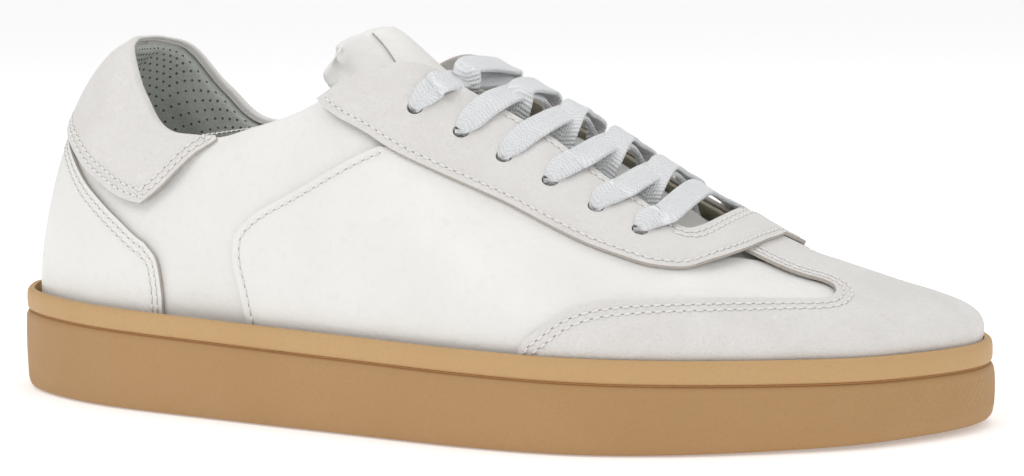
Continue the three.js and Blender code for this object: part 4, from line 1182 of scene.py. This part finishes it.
def punch(obj, radius, places):
    """Cuts the lace holes, slightly flared at the face."""
    bm = bmesh.new()
    for u, w in places:
        c = place(u, w, -4.0)
        up = place_normal(u, w)
        side = unit(np.cross(up, np.array((0.0, 0.0, 1.0)) + 0.01))
        other = np.cross(up, side)
        angle = np.arange(28) * 2 * math.pi / 28
        loops = []
        for z, r in ((0, radius), (4.0 + LEVEL_C[1] - 0.3, radius), (4.0 + LEVEL_C[1] + 2.6, radius + 1.7)):
            ring = c + up * z + r * (np.cos(angle)[:, None] * side + np.sin(angle)[:, None] * other)
            loops.append([bm.verts.new(Vector(v * MM)) for v in ring])
        for a, b in ((0, 1), (1, 2)):
            for k in range(28):
                q = (k + 1) % 28
                bm.faces.new((loops[a][k], loops[a][q], loops[b][q], loops[b][k]))
        bm.faces.new(loops[0][::-1])
        bm.faces.new(loops[2])
    bmesh.ops.recalc_face_normals(bm, faces=bm.faces)
    for f in bm.faces:
        f.material_index = 1
    mesh = bpy.data.meshes.new("punch")
    bm.to_mesh(mesh)
    bm.free()
    for m in obj.data.materials:
        mesh.materials.append(m)
    cutter = bpy.data.objects.new("punch", mesh)
    bpy.context.scene.collection.objects.link(cutter)
    mod = obj.modifiers.new("lace holes", "BOOLEAN")
    mod.operation = "DIFFERENCE"
    mod.solver = "EXACT"
    mod.object = cutter
    before = len(obj.data.polygons)
    apply_modifiers(obj)
    bpy.data.objects.remove(cutter)
    if len(obj.data.polygons) <= before // 2:
        raise RuntimeError("the lace holes did not cut " + obj.name)
    obj.data.polygons.foreach_set("use_smooth", np.ones(len(obj.data.polygons), bool))
    obj.data.set_sharp_from_angle(angle=math.radians(45))
    return obj


def eyelet_places():
    return [(u, w) for u, w in EYELETS] + [(u, 2 - w) for u, w in EYELETS]


def make_eyestay():
    """One horseshoe of suede round the throat, six lace holes a side."""

    def ends(rows, t):
        uw = along(rows, np.minimum(t, 2 - t))
        return uw[..., 0], np.where(t <= 1, uw[..., 1], 2 - uw[..., 1])

    def uw(a, b):
        t = 2 * a
        u0, w0 = ends(STAY_OUT, t)
        u1, w1 = ends(STAY_IN, t)
        return u0 + (u1 - u0) * b, w0 + (w1 - w0) * b

    outer = along(STAY_OUT, np.linspace(0, 1, 200))
    outer = np.concatenate([outer, mirror(outer)[::-1][1:]])
    inner = along(STAY_IN, np.linspace(0, 1, 200))
    inner = np.concatenate([inner, mirror(inner)[::-1][1:]])
    row_out = inset(outer, 2.2, 1, 500)
    row_in = inset(inner[66:-66], 1.9, -1, 400)
    front = inset(inner[140:-140], 4.0, -1, 260)
    rows = [row_out[6:-6], row_in, front]
    lines = []
    for r in rows:
        p = place(r[:, 0], r[:, 1], LEVEL_C[1] + stay_lift(r[:, 0]))
        lines.append(p)
    obj = panel("eyestay_suede", uw, 430, 26, LEVEL_C, finishes("suede", "cut edge"), lines,
                lift=lambda u, w: stay_lift(u), wave=0.08, seed=31, groove=0.28)
    punch(obj, 2.15, eyelet_places())
    sew_rows(obj, rows)
    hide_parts("eyestay")
    return obj


def make_facing(side, medial):
    """Backing strip under the lace holes."""
    facing = coons(((6.2, 0.66), (6.22, 0.78), (6.3, 0.9)), ((8.58, 0.53), (8.62, 0.6), (8.64, 0.668)),
                   ((6.2, 0.66), (6.55, 0.614), (7.2, 0.56), (7.9, 0.54), (8.58, 0.53)),
                   ((6.3, 0.9), (6.5, 0.845), (7.05, 0.752), (7.85, 0.706), (8.64, 0.668)))

    def uw(a, b):
        u, w = facing(a, b)
        return u, flip(w, medial)

    obj = panel("facing_%s_backing" % side, uw, 90, 18, LEVEL_B, finishes("backing", "backing"), seed=33)
    punch(obj, 2.9, [(u, flip(w, medial)) for u, w in EYELETS])
    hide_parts("facing_" + side)
    return obj


def make_quarter_lining(side, medial):
    lining = coons(((5.55, -0.03), (5.55, 0.45), (5.75, 0.9)), ((9.2, -0.03), (9.2, 0.3), (9.2, 0.63)),
                   ((5.55, -0.03), (7.4, -0.03), (9.2, -0.03)),
                   ((5.75, 0.9), (6.2, 0.84), (6.5, 0.775), (7.05, 0.71), (7.85, 0.685), (8.7, 0.645),
                    (9.2, 0.63)))

    def uw(a, b):
        u, w = lining(a, b)
        return u, flip(w, medial)

    obj = panel("quarter_lining_%s_cloth" % side, uw, 80, 44, LEVEL_LINING, finishes("lining"), seed=35, groove=0)
    punch_places = [(u, flip(w, medial)) for u, w in EYELETS]
    obj.data.materials.append(finish("lining"))
    punch(obj, 4.2, punch_places)
    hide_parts("quarter_lining_" + side)
    return obj


def make_vamp_lining():
    def sink(u, w):
        return -0.5 * smooth((u - 12.4) / 0.8) * smooth((0.6 - np.abs(w - 1)) / 0.4)

    obj = panel("vamp_lining_cloth", dome, 60, 90, LEVEL_LINING, finishes("lining"), lift=sink, seed=37)
    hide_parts("vamp_lining")
    return obj


# ------------------------------------------------------------------ tongue
DEEP = LEVEL_LINING[0] - 3.4


def tongue_rows():
    q = np.array((-1, -0.5, 0, 0.5, 1))
    rise = 1 - np.abs(q)
    rows = [place(np.full(5, u), 1 + q * spread, DEEP + crown * rise) for u, spread, crown in
            ((9.75, 0.2, 0), (9.2, 0.3, 0.8), (8.6, 0.34, 2.4), (7.9, 0.34, 3), (7.15, 0.32, 2.8))]
    for u, bulge in ((6.52, 2.5), (6.08, 6)):
        w = np.array((0.76, 0.89, 1.11, 1.24))
        r = place(np.full(4, u), w, np.full(4, DEEP - 0.3))
        rows.append(np.stack([r[0], r[1], (r[1] + r[2]) / 2 + np.array((0.5, 0, 0.87)) * bulge, r[2], r[3]]))
    arches = ((-18.5, 0.5, 106.5, 23, 60, 1.3, 1.15), (-26.5, 0, 112, 27, 46, 0.9, 1))
    for x, y, z, radius, half, back, down in arches:
        a = np.radians(half * q)
        fall = radius * (1 - np.cos(a))
        rows.append(np.stack([x * KX - fall * back, y * KY + radius * np.sin(a) * KY, z - fall * down], -1))
    return np.array(rows)


TONGUE_ROWS = tongue_rows()


def tongue_at(t, q):
    t, q = np.broadcast_arrays(np.asarray(t, float), np.asarray(q, float))
    shape = t.shape
    t, q = t.ravel(), q.ravel()
    cols = np.stack([spline(TONGUE_ROWS[:, k], t) for k in range(5)])
    ext = np.concatenate([2 * cols[:1] - cols[1:2], cols, 2 * cols[-1:] - cols[-2:-1]])
    x = (q + 1) * 2
    i = np.clip(np.floor(x).astype(int), 0, 3)
    f = (x - i)[:, None]
    k = np.arange(len(x))
    p0, p1, p2, p3 = (ext[i + d, k] for d in (0, 1, 2, 3))
    p = 0.5 * (2 * p1 + (p2 - p0) * f + (2 * p0 - 5 * p1 + 4 * p2 - p3) * f ** 2
               + (3 * p1 - p0 - 3 * p2 + p3) * f ** 3)
    return p.reshape(shape + (3,))


def tongue_normal(t, q):
    t, q = np.broadcast_arrays(np.asarray(t, float), np.asarray(q, float))
    dt = tongue_at(t + 0.03, q) - tongue_at(t - 0.03, q)
    dq = tongue_at(t, q + 0.03) - tongue_at(t, q - 0.03)
    n = unit(np.cross(dq, dt))
    return np.where(n[..., 2:] < 0, -n, n)


def tongue_place(a, b):
    t = 0.1 + 7.85 * a
    return t, (2 * b - 1) * (1 - 0.12 * smooth((t - 7.4) / 0.6))


def make_tongue():
    """Padded tongue: leather face, cloth back, crowned by its foam and pinched along its sewn edge."""
    a, b = np.meshgrid(np.linspace(0, 1, 120), np.linspace(0, 1, 50), indexing="ij")
    t, q = tongue_place(a, b)
    p, n = tongue_at(t, q), tongue_normal(t, q)
    rim = np.clip(1 - np.abs(2 * b - 1) ** 7, 0, 1) ** 0.5 * np.clip(1 - np.abs(2 * a - 1) ** 22, 0, 1) ** 0.5
    middle = -SKIN - GAP - TONGUE_FOAM / 2
    top = p + n * (middle + (1.0 + 1.45 * rim))[..., None]
    low = p + n * (middle - (1.0 + 1.45 * rim))[..., None]
    obj = shell("tongue_cushion", top, low, finishes("leather"), body=None, bevel=0)
    swell(obj, 1.6, 4.0, 1.3)
    mesh = obj.data
    pts = np.zeros(len(mesh.vertices) * 3)
    mesh.vertices.foreach_get("co", pts)
    pts = pts.reshape(-1, 3) / MM
    tt, qq = np.meshgrid(np.linspace(0.15, 7.9, 160), np.linspace(-0.98, 0.98, 44), indexing="ij")
    grid, up = tongue_at(tt, qq).reshape(-1, 3), tongue_normal(tt, qq).reshape(-1, 3)
    nearest = np.zeros(len(pts), int)
    for start in range(0, len(pts), 3000):
        part = pts[start:start + 3000]
        nearest[start:start + 3000] = ((part[:, None] - grid[None]) ** 2).sum(-1).argmin(1)
    level = ((pts - grid[nearest]) * up[nearest]).sum(-1)
    face = level > middle - 0.6
    border = np.stack([0.1 + 7.85 * np.concatenate([np.linspace(0.3, 0.955, 120), np.full(50, 0.955),
                                                    np.linspace(0.955, 0.3, 120)]),
                       np.concatenate([np.full(120, -0.82), np.linspace(-0.82, 0.82, 50),
                                       np.full(120, 0.82)])], -1)
    seam = tongue_at(border[:, 0], border[:, 1])
    gap = np.full(len(pts), 99.0)
    for start in range(0, len(pts), 3000):
        part = pts[start:start + 3000]
        gap[start:start + 3000] = ((part[:, None] - seam[None]) ** 2).sum(-1).min(1)
    pts = pts - up[nearest] * (0.25 * np.exp(-gap / 3.4) * face)[:, None]
    mesh.vertices.foreach_set("co", (pts * MM).ravel())
    mesh.materials.append(finish("lining"))
    slots = []
    for poly in mesh.polygons:
        slots.append(0 if face[list(poly.vertices)].mean() > 0.5 else 1)
    mesh.polygons.foreach_set("material_index", np.array(slots, np.int32))
    mesh.update()
    return obj


def tongue_skin(name, tree, t0, t1, q0, q1, ni, nj, thick, materials, round_by=0.0, sink=0.0):
    """Leather laid on the tongue, its corners rounded."""
    a, b = np.meshgrid(np.linspace(-1, 1, ni), np.linspace(-1, 1, nj), indexing="ij")
    if round_by:
        a, b = a * np.sqrt(1 - round_by * b ** 8), b * np.sqrt(1 - round_by * a ** 8)
    t = (t0 + t1) / 2 + (t1 - t0) / 2 * a
    q = (q0 + q1) / 2 + (q1 - q0) / 2 * b
    p, n = tongue_at(t, q), tongue_normal(t, q)
    up = drop(tree, p, n, 8.0, 0.0)
    for _ in range(2):
        up[1:-1] = 0.25 * up[:-2] + 0.5 * up[1:-1] + 0.25 * up[2:]
        up[:, 1:-1] = 0.25 * up[:, :-2] + 0.5 * up[:, 1:-1] + 0.25 * up[:, 2:]
    top = p + n * (up + thick)[..., None]
    low = p + n * (up - 0.25 - sink)[..., None]
    obj = shell(name, top, low, materials, body=TONGUE, bevel=0.2)
    return obj


def make_tongue_trim(cushion):
    tree = tree_of(cushion)
    label = tongue_skin("tongue_label_leather", tree, 6.02, 7.58, -0.37, 0.37, 64, 34, 0.85,
                        finishes("leather", "cut edge"), 0.06)
    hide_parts("tongue_label")
    keeper = tongue_skin("lace_keeper_loop", tree, 4.98, 5.34, -0.3, 0.3, 20, 30, 0.8,
                         finishes("leather", "cut edge"), 0.05)
    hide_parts("lace_keeper")
    for q_end in (-0.25, 0.25):
        t = np.linspace(5.02, 5.3, 20)
        sew(keeper, tongue_at(t, np.full(20, q_end)), tongue_normal(t, np.full(20, q_end)), body=TONGUE)


# ------------------------------------------------------------------ lace
LACE_TOP = LEVEL_C[1] + 0.15 + LACE_THICK / 2
LACE_LOW = LEVEL_LINING[0] - GAP - LACE_THICK / 2 - 0.5


def stay_inner(u):
    rows = along(STAY_IN, np.linspace(0, 1, 600))
    rows = rows[150:480]
    return float(np.interp(u, rows[:, 0], rows[:, 1]))


def lace_run():
    """Stations of the lace from end to end: place, face direction, width and thickness."""
    wide = sizes().lace_width / MM
    thick_by = sizes().lace_thickness / MM

    def station(u, w, level, width=None, thick=None, face=None):
        u, w = np.array(float(u)), np.array(float(w))
        up = place_normal(u, w if face is None else np.array(float(face)))
        return np.concatenate([place(u, w, level + (float(stay_lift(u)) if level > 0 else 0)), up,
                               [width or wide, thick or thick_by]])

    def land(run, u, w, inner, side, extra=0.0, pace=1.0):
        """Brings the lace over the edge of the eyestay and down into a hole."""
        run.append(station(u + 0.17 * pace, flip(inner, side), LACE_TOP + 0.5 + extra,
                           face=flip(inner - 0.06, side)))
        run.append(station(u + 0.1 * pace, flip((inner + w) / 2 + 0.02, side), LACE_TOP + 0.15 + extra * 0.3))
        run.append(station(u + 0.035, flip(w + 0.04, side), LACE_TOP + 0.15, wide * 0.92, thick_by * 1.1))
        run.append(station(u + 0.005, flip(w + 0.008, side), 1.2, 4.4, 2.1))

    halves = []
    for start in (False, True):
        run = []
        u1, w1 = EYELETS[0]
        inner = stay_inner(u1 + 0.1)
        if not start:
            run.append(station(u1 + 0.2, 1.0, 0.2, face=0.72))
        run.append(station(u1 + 0.2, flip(0.87, start), 0.5, face=0.68 if not start else flip(0.8, True)))
        land(run, u1, w1, inner, start)
        here = start
        for k in range(6):
            u, w = EYELETS[k]
            run.append(station(u, flip(w, here), -1.4, 3.4, 2.0))
            run.append(station(u, flip(w, here), LACE_LOW + 0.9, 3.5, 1.8))
            if k < 5:
                nu, nw = EYELETS[k + 1]
                pace = (u - nu) / 0.5
                a_in, b_in = stay_inner(u - 0.12), stay_inner(nu + 0.08)
                run.append(station(u - 0.05 * pace, flip((w + a_in) / 2 + 0.02, here), LACE_LOW, 6.6))
                run.append(station(u - 0.12 * pace, flip(a_in + 0.03, here), LACE_LOW + 0.2))
                if here:
                    reach = min(0.14, 0.45 * (1 - a_in))
                    run.append(station(u - 0.17 * pace, 2 - (a_in + reach), -2.2, face=0.9))
                    if a_in < 0.86:
                        run.append(station(u - 0.21 * pace, 1.0, -0.7, face=0.72))
                    if b_in < 0.86:
                        run.append(station(nu + 0.235 * pace, (b_in + 1) / 2, 0.1, face=0.66))
                    land(run, nu, nw, b_in, False, 0.0, pace)
                else:
                    reach = min(0.12, 0.45 * (1 - a_in))
                    run.append(station(u - 0.17 * pace, a_in + reach, -1.2, face=0.62))
                    crest = max(0.95, min(a_in + 0.13, 1))
                    run.append(station((u + nu) / 2 + 0.02, crest, 1.6, face=0.74))
                    run.append(station(nu + 0.2 * pace, 2 - (b_in + 1) / 2, 1.4, face=1.05))
                    land(run, nu, nw, b_in, True, 0.8, pace)
                here = not here
            else:
                run.append(station(u + 0.02, flip(w - 0.07, here), LACE_LOW - 0.6, 4.6))
                run.append(station(u + 0.05, flip(w - 0.16, here), LACE_LOW - 0.9, 3.4, 1.5))
        halves.append(run)
    return np.array(halves[0][::-1] + halves[1])


def make_lace():
    """One flat woven lace through all the eyelets, its ends tucked inside."""
    run = lace_run()
    last = len(run) - 1
    half = np.arange(0, last + 0.25, 0.5)
    rows = spline(run, half)
    ways = unit(spline(run[:, :3], np.minimum(half + 0.1, last)) - spline(run[:, :3], np.maximum(half - 0.1, 0)))
    across = []
    for k in range(len(half)):
        side = np.cross(ways[k], rows[k, 3:6])
        if across:
            strength = min(max(np.linalg.norm(side) * 1.6 - 0.2, 0), 1)
            side = unit(unit(side) * strength + across[-1] * (1 - strength + 0.05))
        side = unit(side - ways[k] * (side @ ways[k]))
        across.append(side)
    across = np.array(across)
    fine = np.arange(0, last + 1e-6, 1 / 16)
    body_rows = spline(run, fine)
    p = body_rows[:, :3]
    way = unit(np.gradient(p, axis=0))
    side = spline(across, fine * 2)
    side = unit(side - way * (side * way).sum(-1, keepdims=True))
    up = unit(np.cross(side, way))
    length = np.concatenate([[0], np.cumsum(np.linalg.norm(np.diff(p, axis=0), axis=1))])
    section = np.array([(-1, 0), (-0.985, 0.6), (-0.93, 0.9), (-0.8, 1), (-0.45, 0.96), (0, 0.86), (0.45, 0.96),
                        (0.8, 1), (0.93, 0.9), (0.985, 0.6), (1, 0), (0.985, -0.6), (0.93, -0.9), (0.8, -1),
                        (0.45, -0.96), (0, -0.86), (-0.45, -0.96), (-0.8, -1), (-0.93, -0.9), (-0.985, -0.6)])
    width, thick = body_rows[:, 6], body_rows[:, 7]
    rings = (p[:, None] + side[:, None] * (section[None, :, :1] * width[:, None, None] / 2)
             + up[:, None] * (section[None, :, 1:] * thick[:, None, None] / 2))
    uv = np.stack(np.broadcast_arrays((section[:, 0] / 2 + 0.5)[None, :], length[:, None]), -1)
    obj = loft("lace_flat_braid", rings, finishes("lace"), sharp=70, uv=uv)
    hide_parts("lace")
    report = {"lace_length_mm": float(length[-1])}
    for name, end, nxt in (("aglet_medial", 0, 1), ("aglet_lateral", last, last - 1)):
        tip = unit(run[end, :3] - run[nxt, :3])
        n = unit(run[end, 3:6] - tip * (run[end, 3:6] @ tip))
        cross = np.cross(tip, n)
        a = np.arange(20) * 2 * math.pi / 20
        rings = []
        for d, grow in ((0.2, 0.8), (0.4, 1.0), (4, 1.0), (10.2, 0.98), (10.8, 0.85), (11, 0.5)):
            rings.append(run[end, :3] + tip * d + 1.5 * grow * np.cos(a)[:, None] * cross
                         + 0.8 * grow * np.sin(a)[:, None] * n)
        tip_obj = loft(name + "_film", np.array(rings), finishes("aglet"))
        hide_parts(name)
    return report


# ------------------------------------------------------------------ settings
def colour_setting(name, text, default):
    return FloatVectorProperty(name=name, description=text, default=default, size=3, min=0, max=1, subtype="COLOR")


def length_setting(name, text, default):
    return FloatProperty(name=name, description=text, default=default, min=0, soft_max=0.02, unit="LENGTH",
                         subtype="DISTANCE", precision=5)


class CourtShoeSizes(PropertyGroup):
    """Sizes that can be changed without cutting new patterns."""
    stitch_pitch: length_setting("Stitch pitch", "Distance from one stitch to the next", 0.0027)
    stitch_length: length_setting("Stitch length", "Visible length of one stitch", 0.0021)
    thread_width: length_setting("Thread width", "Thickness of the sewing thread", 0.0006)
    lace_width: length_setting("Lace width", "Width of the flat lace", 0.0078)
    lace_thickness: length_setting("Lace thickness", "Thickness of the flat lace", 0.0014)
    perforation_pitch: length_setting("Perforation pitch", "Distance between holes in the lining", 0.0029)
    perforation_width: length_setting("Perforation width", "Width of a hole in the lining", 0.0009)


class CourtShoeColours(PropertyGroup):
    """Colours of the materials."""
    leather: colour_setting("Leather", "Smooth leather of the quarters, heel and tongue", (0.8, 0.79, 0.765))
    suede: colour_setting("Suede", "Suede of the eyestay, toe guard and collar patch", (0.725, 0.705, 0.685))
    lining: colour_setting("Lining", "Lining cloth and collar lining", (0.56, 0.58, 0.54))
    # Cup rubber: the gum colour darkened as painted shade of the lower sidewall.
    rubber: colour_setting("Cup rubber", "Rubber of the sole cup", (0.42, 0.245, 0.105))
    foxing: colour_setting("Foxing rubber", "Rubber band round the top of the sole", (0.53, 0.335, 0.155))
    seam: colour_setting("Sole seam", "Cement line between band and cup", (0.4, 0.2, 0.08))
    lace: colour_setting("Lace", "Woven lace", (0.86, 0.87, 0.88))
    thread: colour_setting("Thread", "Sewing thread", (0.8, 0.79, 0.77))
    # The cut edge colour is partly the raw edge's own tone and partly a painted shadow line along the edge.
    edge: colour_setting("Cut edge", "Raw edge of leather and suede", (0.5, 0.46, 0.42))


# ------------------------------------------------------------------ operators
class COURTSHOE_OT_sole(Operator):
    """Make the rubber cup, its tread bars and the foxing band"""
    bl_idname = "court_shoe.sole"
    bl_label = "Sole"

    def execute(self, context):
        make_cup()
        make_tread()
        make_foxing()
        return {"FINISHED"}


class COURTSHOE_OT_footbed(Operator):
    """Make the cushioned footbed"""
    bl_idname = "court_shoe.footbed"
    bl_label = "Footbed"

    def execute(self, context):
        make_footbed()
        return {"FINISHED"}


class COURTSHOE_OT_collar(Operator):
    """Make the collar padding and its perforated lining"""
    bl_idname = "court_shoe.collar"
    bl_label = "Padded collar"

    def execute(self, context):
        make_collar_pad()
        make_perforations(make_heel_lining())
        return {"FINISHED"}


class COURTSHOE_OT_quarters(Operator):
    """Make the rear and front leather quarters of both sides"""
    bl_idname = "court_shoe.quarters"
    bl_label = "Quarters"

    def execute(self, context):
        for side, medial in (("lateral", False), ("medial", True)):
            make_rear_quarter(side, medial)
            make_front_quarter(side, medial)
        return {"FINISHED"}


class COURTSHOE_OT_heel(Operator):
    """Make the heel cover and the suede collar patch"""
    bl_idname = "court_shoe.heel"
    bl_label = "Heel cover and collar patch"

    def execute(self, context):
        make_heel_cover()
        make_collar_patch()
        return {"FINISHED"}


class COURTSHOE_OT_toe(Operator):
    """Make the vamp and the suede toe guard"""
    bl_idname = "court_shoe.toe"
    bl_label = "Vamp and toe guard"

    def execute(self, context):
        make_vamp()
        make_toe_guard()
        return {"FINISHED"}


class COURTSHOE_OT_eyestay(Operator):
    """Make the suede eyestay and the strips behind its lace holes"""
    bl_idname = "court_shoe.eyestay"
    bl_label = "Eyestay"

    def execute(self, context):
        make_eyestay()
        make_facing("lateral", False)
        make_facing("medial", True)
        return {"FINISHED"}


class COURTSHOE_OT_linings(Operator):
    """Make the cloth linings of the quarters and the vamp"""
    bl_idname = "court_shoe.linings"
    bl_label = "Linings"

    def execute(self, context):
        make_quarter_lining("lateral", False)
        make_quarter_lining("medial", True)
        make_vamp_lining()
        return {"FINISHED"}


class COURTSHOE_OT_tongue(Operator):
    """Make the padded tongue, its label and its lace keeper"""
    bl_idname = "court_shoe.tongue"
    bl_label = "Tongue"

    def execute(self, context):
        cushion = make_tongue()
        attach(cushion, TONGUE)
        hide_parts("tongue_outer", "tongue_foam", "tongue_lining")
        make_tongue_trim(cushion)
        return {"FINISHED"}


class COURTSHOE_OT_lace(Operator):
    """Make the flat lace and its two aglets"""
    bl_idname = "court_shoe.lace"
    bl_label = "Lace"

    def execute(self, context):
        facts = make_lace()
        print("lace", round(facts["lace_length_mm"]), "mm")
        return {"FINISHED"}


class COURTSHOE_OT_stitching(Operator):
    """Sew every noted row of stitches"""
    bl_idname = "court_shoe.stitching"
    bl_label = "Stitching"

    def execute(self, context):
        for obj in dict.fromkeys(job[0] for job in SEWN):
            jobs = [job for job in SEWN if job[0] == obj]
            piece = make_stitches(obj.name + "_stitches", jobs, jobs[0][6])
        if not SEWN:
            raise RuntimeError("there is nothing to sew")
        return {"FINISHED"}


class COURTSHOE_OT_stiffeners(Operator):
    """Finish the hidden foam, board and stiffeners, which keep their own shapes"""
    bl_idname = "court_shoe.stiffeners"
    bl_label = "Midsole, board and stiffeners"

    def execute(self, context):
        for node, kind in (("midsole_foam", "foam"), ("insole_board", "board"), ("heel_counter", "board"),
                           ("toe_puff", "board")):
            piece = bpy.data.objects.get(node)
            if piece is None:
                raise RuntimeError(node + " is missing from the frame")
            for slot in piece.material_slots:
                slot.material = finish(kind)
        return {"FINISHED"}


def area_light(name, place_at, aim, size, power, colour=(1, 1, 1)):
    data = bpy.data.lights.new(name, "AREA")
    data.shape = "RECTANGLE"
    data.size, data.size_y = size
    data.energy = power
    data.color = colour
    lamp = bpy.data.objects.new(name, data)
    lamp.location = place_at
    lamp.rotation_euler = (Vector(aim) - Vector(place_at)).to_track_quat("-Z", "Y").to_euler()
    bpy.context.scene.collection.objects.link(lamp)


class COURTSHOE_OT_stage(Operator):
    """Set the pale floor, the soft lights and the camera"""
    bl_idname = "court_shoe.stage"
    bl_label = "Stage"

    def execute(self, context):
        scene = context.scene
        scene.view_settings.view_transform = "Standard"
        world = bpy.data.worlds.new("pale_studio")
        world.use_nodes = True
        world.node_tree.nodes["Background"].inputs["Color"].default_value = (1, 1, 1, 1)
        world.node_tree.nodes["Background"].inputs["Strength"].default_value = 0.68
        scene.world = world
        mesh = bpy.data.meshes.new("studio_floor")
        mesh.from_pydata([(-25, -25, 0), (25, -25, 0), (25, 25, 0), (-25, 25, 0)], [], [(0, 1, 2, 3)])
        floor = bpy.data.objects.new("studio_floor", mesh)
        floor.location.z = -0.0002
        pale = Finish("pale_floor", (0.95, 0.95, 0.95), 0.8, 0.1)
        pale.shader.inputs["Emission Color"].default_value = (1, 1, 1, 1)
        pale.shader.inputs["Emission Strength"].default_value = 0.3
        mesh.materials.append(pale.material)
        scene.collection.objects.link(floor)
        area_light("key_softbox", (-0.5, -0.9, 1.3), (0, 0, 0.05), (0.9, 0.7), 6)
        area_light("toe_softbox", (1.1, -0.7, 0.9), (0.05, 0, 0.04), (0.7, 0.6), 2)
        area_light("top_softbox", (0.1, 0.5, 1.4), (0, 0, 0.05), (1.0, 0.8), 4)
        turn, rise, roll = math.radians(26.07), math.radians(6.374), math.radians(-0.881)
        back = Vector((math.sin(turn) * math.cos(rise), -math.cos(turn) * math.cos(rise), math.sin(rise)))
        right = Vector((math.cos(turn), math.sin(turn), 0))
        up = back.cross(right)
        right, up = (right * math.cos(roll) + up * math.sin(roll)), (up * math.cos(roll) - right * math.sin(roll))
        data = bpy.data.cameras.new("camera")
        data.sensor_width = 36
        data.lens = 97.9
        data.clip_start = 0.05
        camera = bpy.data.objects.new("camera", data)
        spot = Vector((0.0149, 0, 0.0492)) + back * 0.796
        camera.matrix_world = Matrix((
            (right.x, up.x, back.x, spot.x), (right.y, up.y, back.y, spot.y), (right.z, up.z, back.z, spot.z),
            (0, 0, 0, 1)))
        scene.collection.objects.link(camera)
        scene.camera = camera
        return {"FINISHED"}


STEPS = (COURTSHOE_OT_sole, COURTSHOE_OT_footbed, COURTSHOE_OT_collar, COURTSHOE_OT_quarters, COURTSHOE_OT_heel,
         COURTSHOE_OT_toe, COURTSHOE_OT_eyestay, COURTSHOE_OT_linings, COURTSHOE_OT_tongue, COURTSHOE_OT_lace,
         COURTSHOE_OT_stitching, COURTSHOE_OT_stiffeners, COURTSHOE_OT_stage)


class COURTSHOE_PT_workbench(Panel):
    """Lists the pieces of the shoe in the order they are made"""
    bl_idname = "COURTSHOE_PT_workbench"
    bl_label = "Court shoe"
    bl_space_type = "VIEW_3D"
    bl_region_type = "UI"
    bl_category = "Court shoe"

    def draw(self, context):
        layout = self.layout
        for group in (context.scene.court_shoe_sizes, context.scene.court_shoe_colours):
            box = layout.box()
            for key in group.bl_rna.properties.keys():
                if key not in ("rna_type", "name"):
                    box.prop(group, key)
        for kind in STEPS:
            layout.operator(kind.bl_idname)


CLASSES = (CourtShoeSizes, CourtShoeColours, *STEPS, COURTSHOE_PT_workbench)


def register():
    for kind in CLASSES:
        bpy.utils.register_class(kind)
    bpy.types.Scene.court_shoe_sizes = PointerProperty(type=CourtShoeSizes)
    bpy.types.Scene.court_shoe_colours = PointerProperty(type=CourtShoeColours)


def unregister():
    del bpy.types.Scene.court_shoe_colours
    del bpy.types.Scene.court_shoe_sizes
    for kind in reversed(CLASSES):
        bpy.utils.unregister_class(kind)


def main():
    register()
    for name in ("sole", "footbed", "collar", "quarters", "heel", "toe", "eyestay", "linings", "tongue", "lace",
                 "stitching", "stiffeners", "stage"):
        getattr(bpy.ops.court_shoe, name)()


if __name__ == "__main__":
    main()
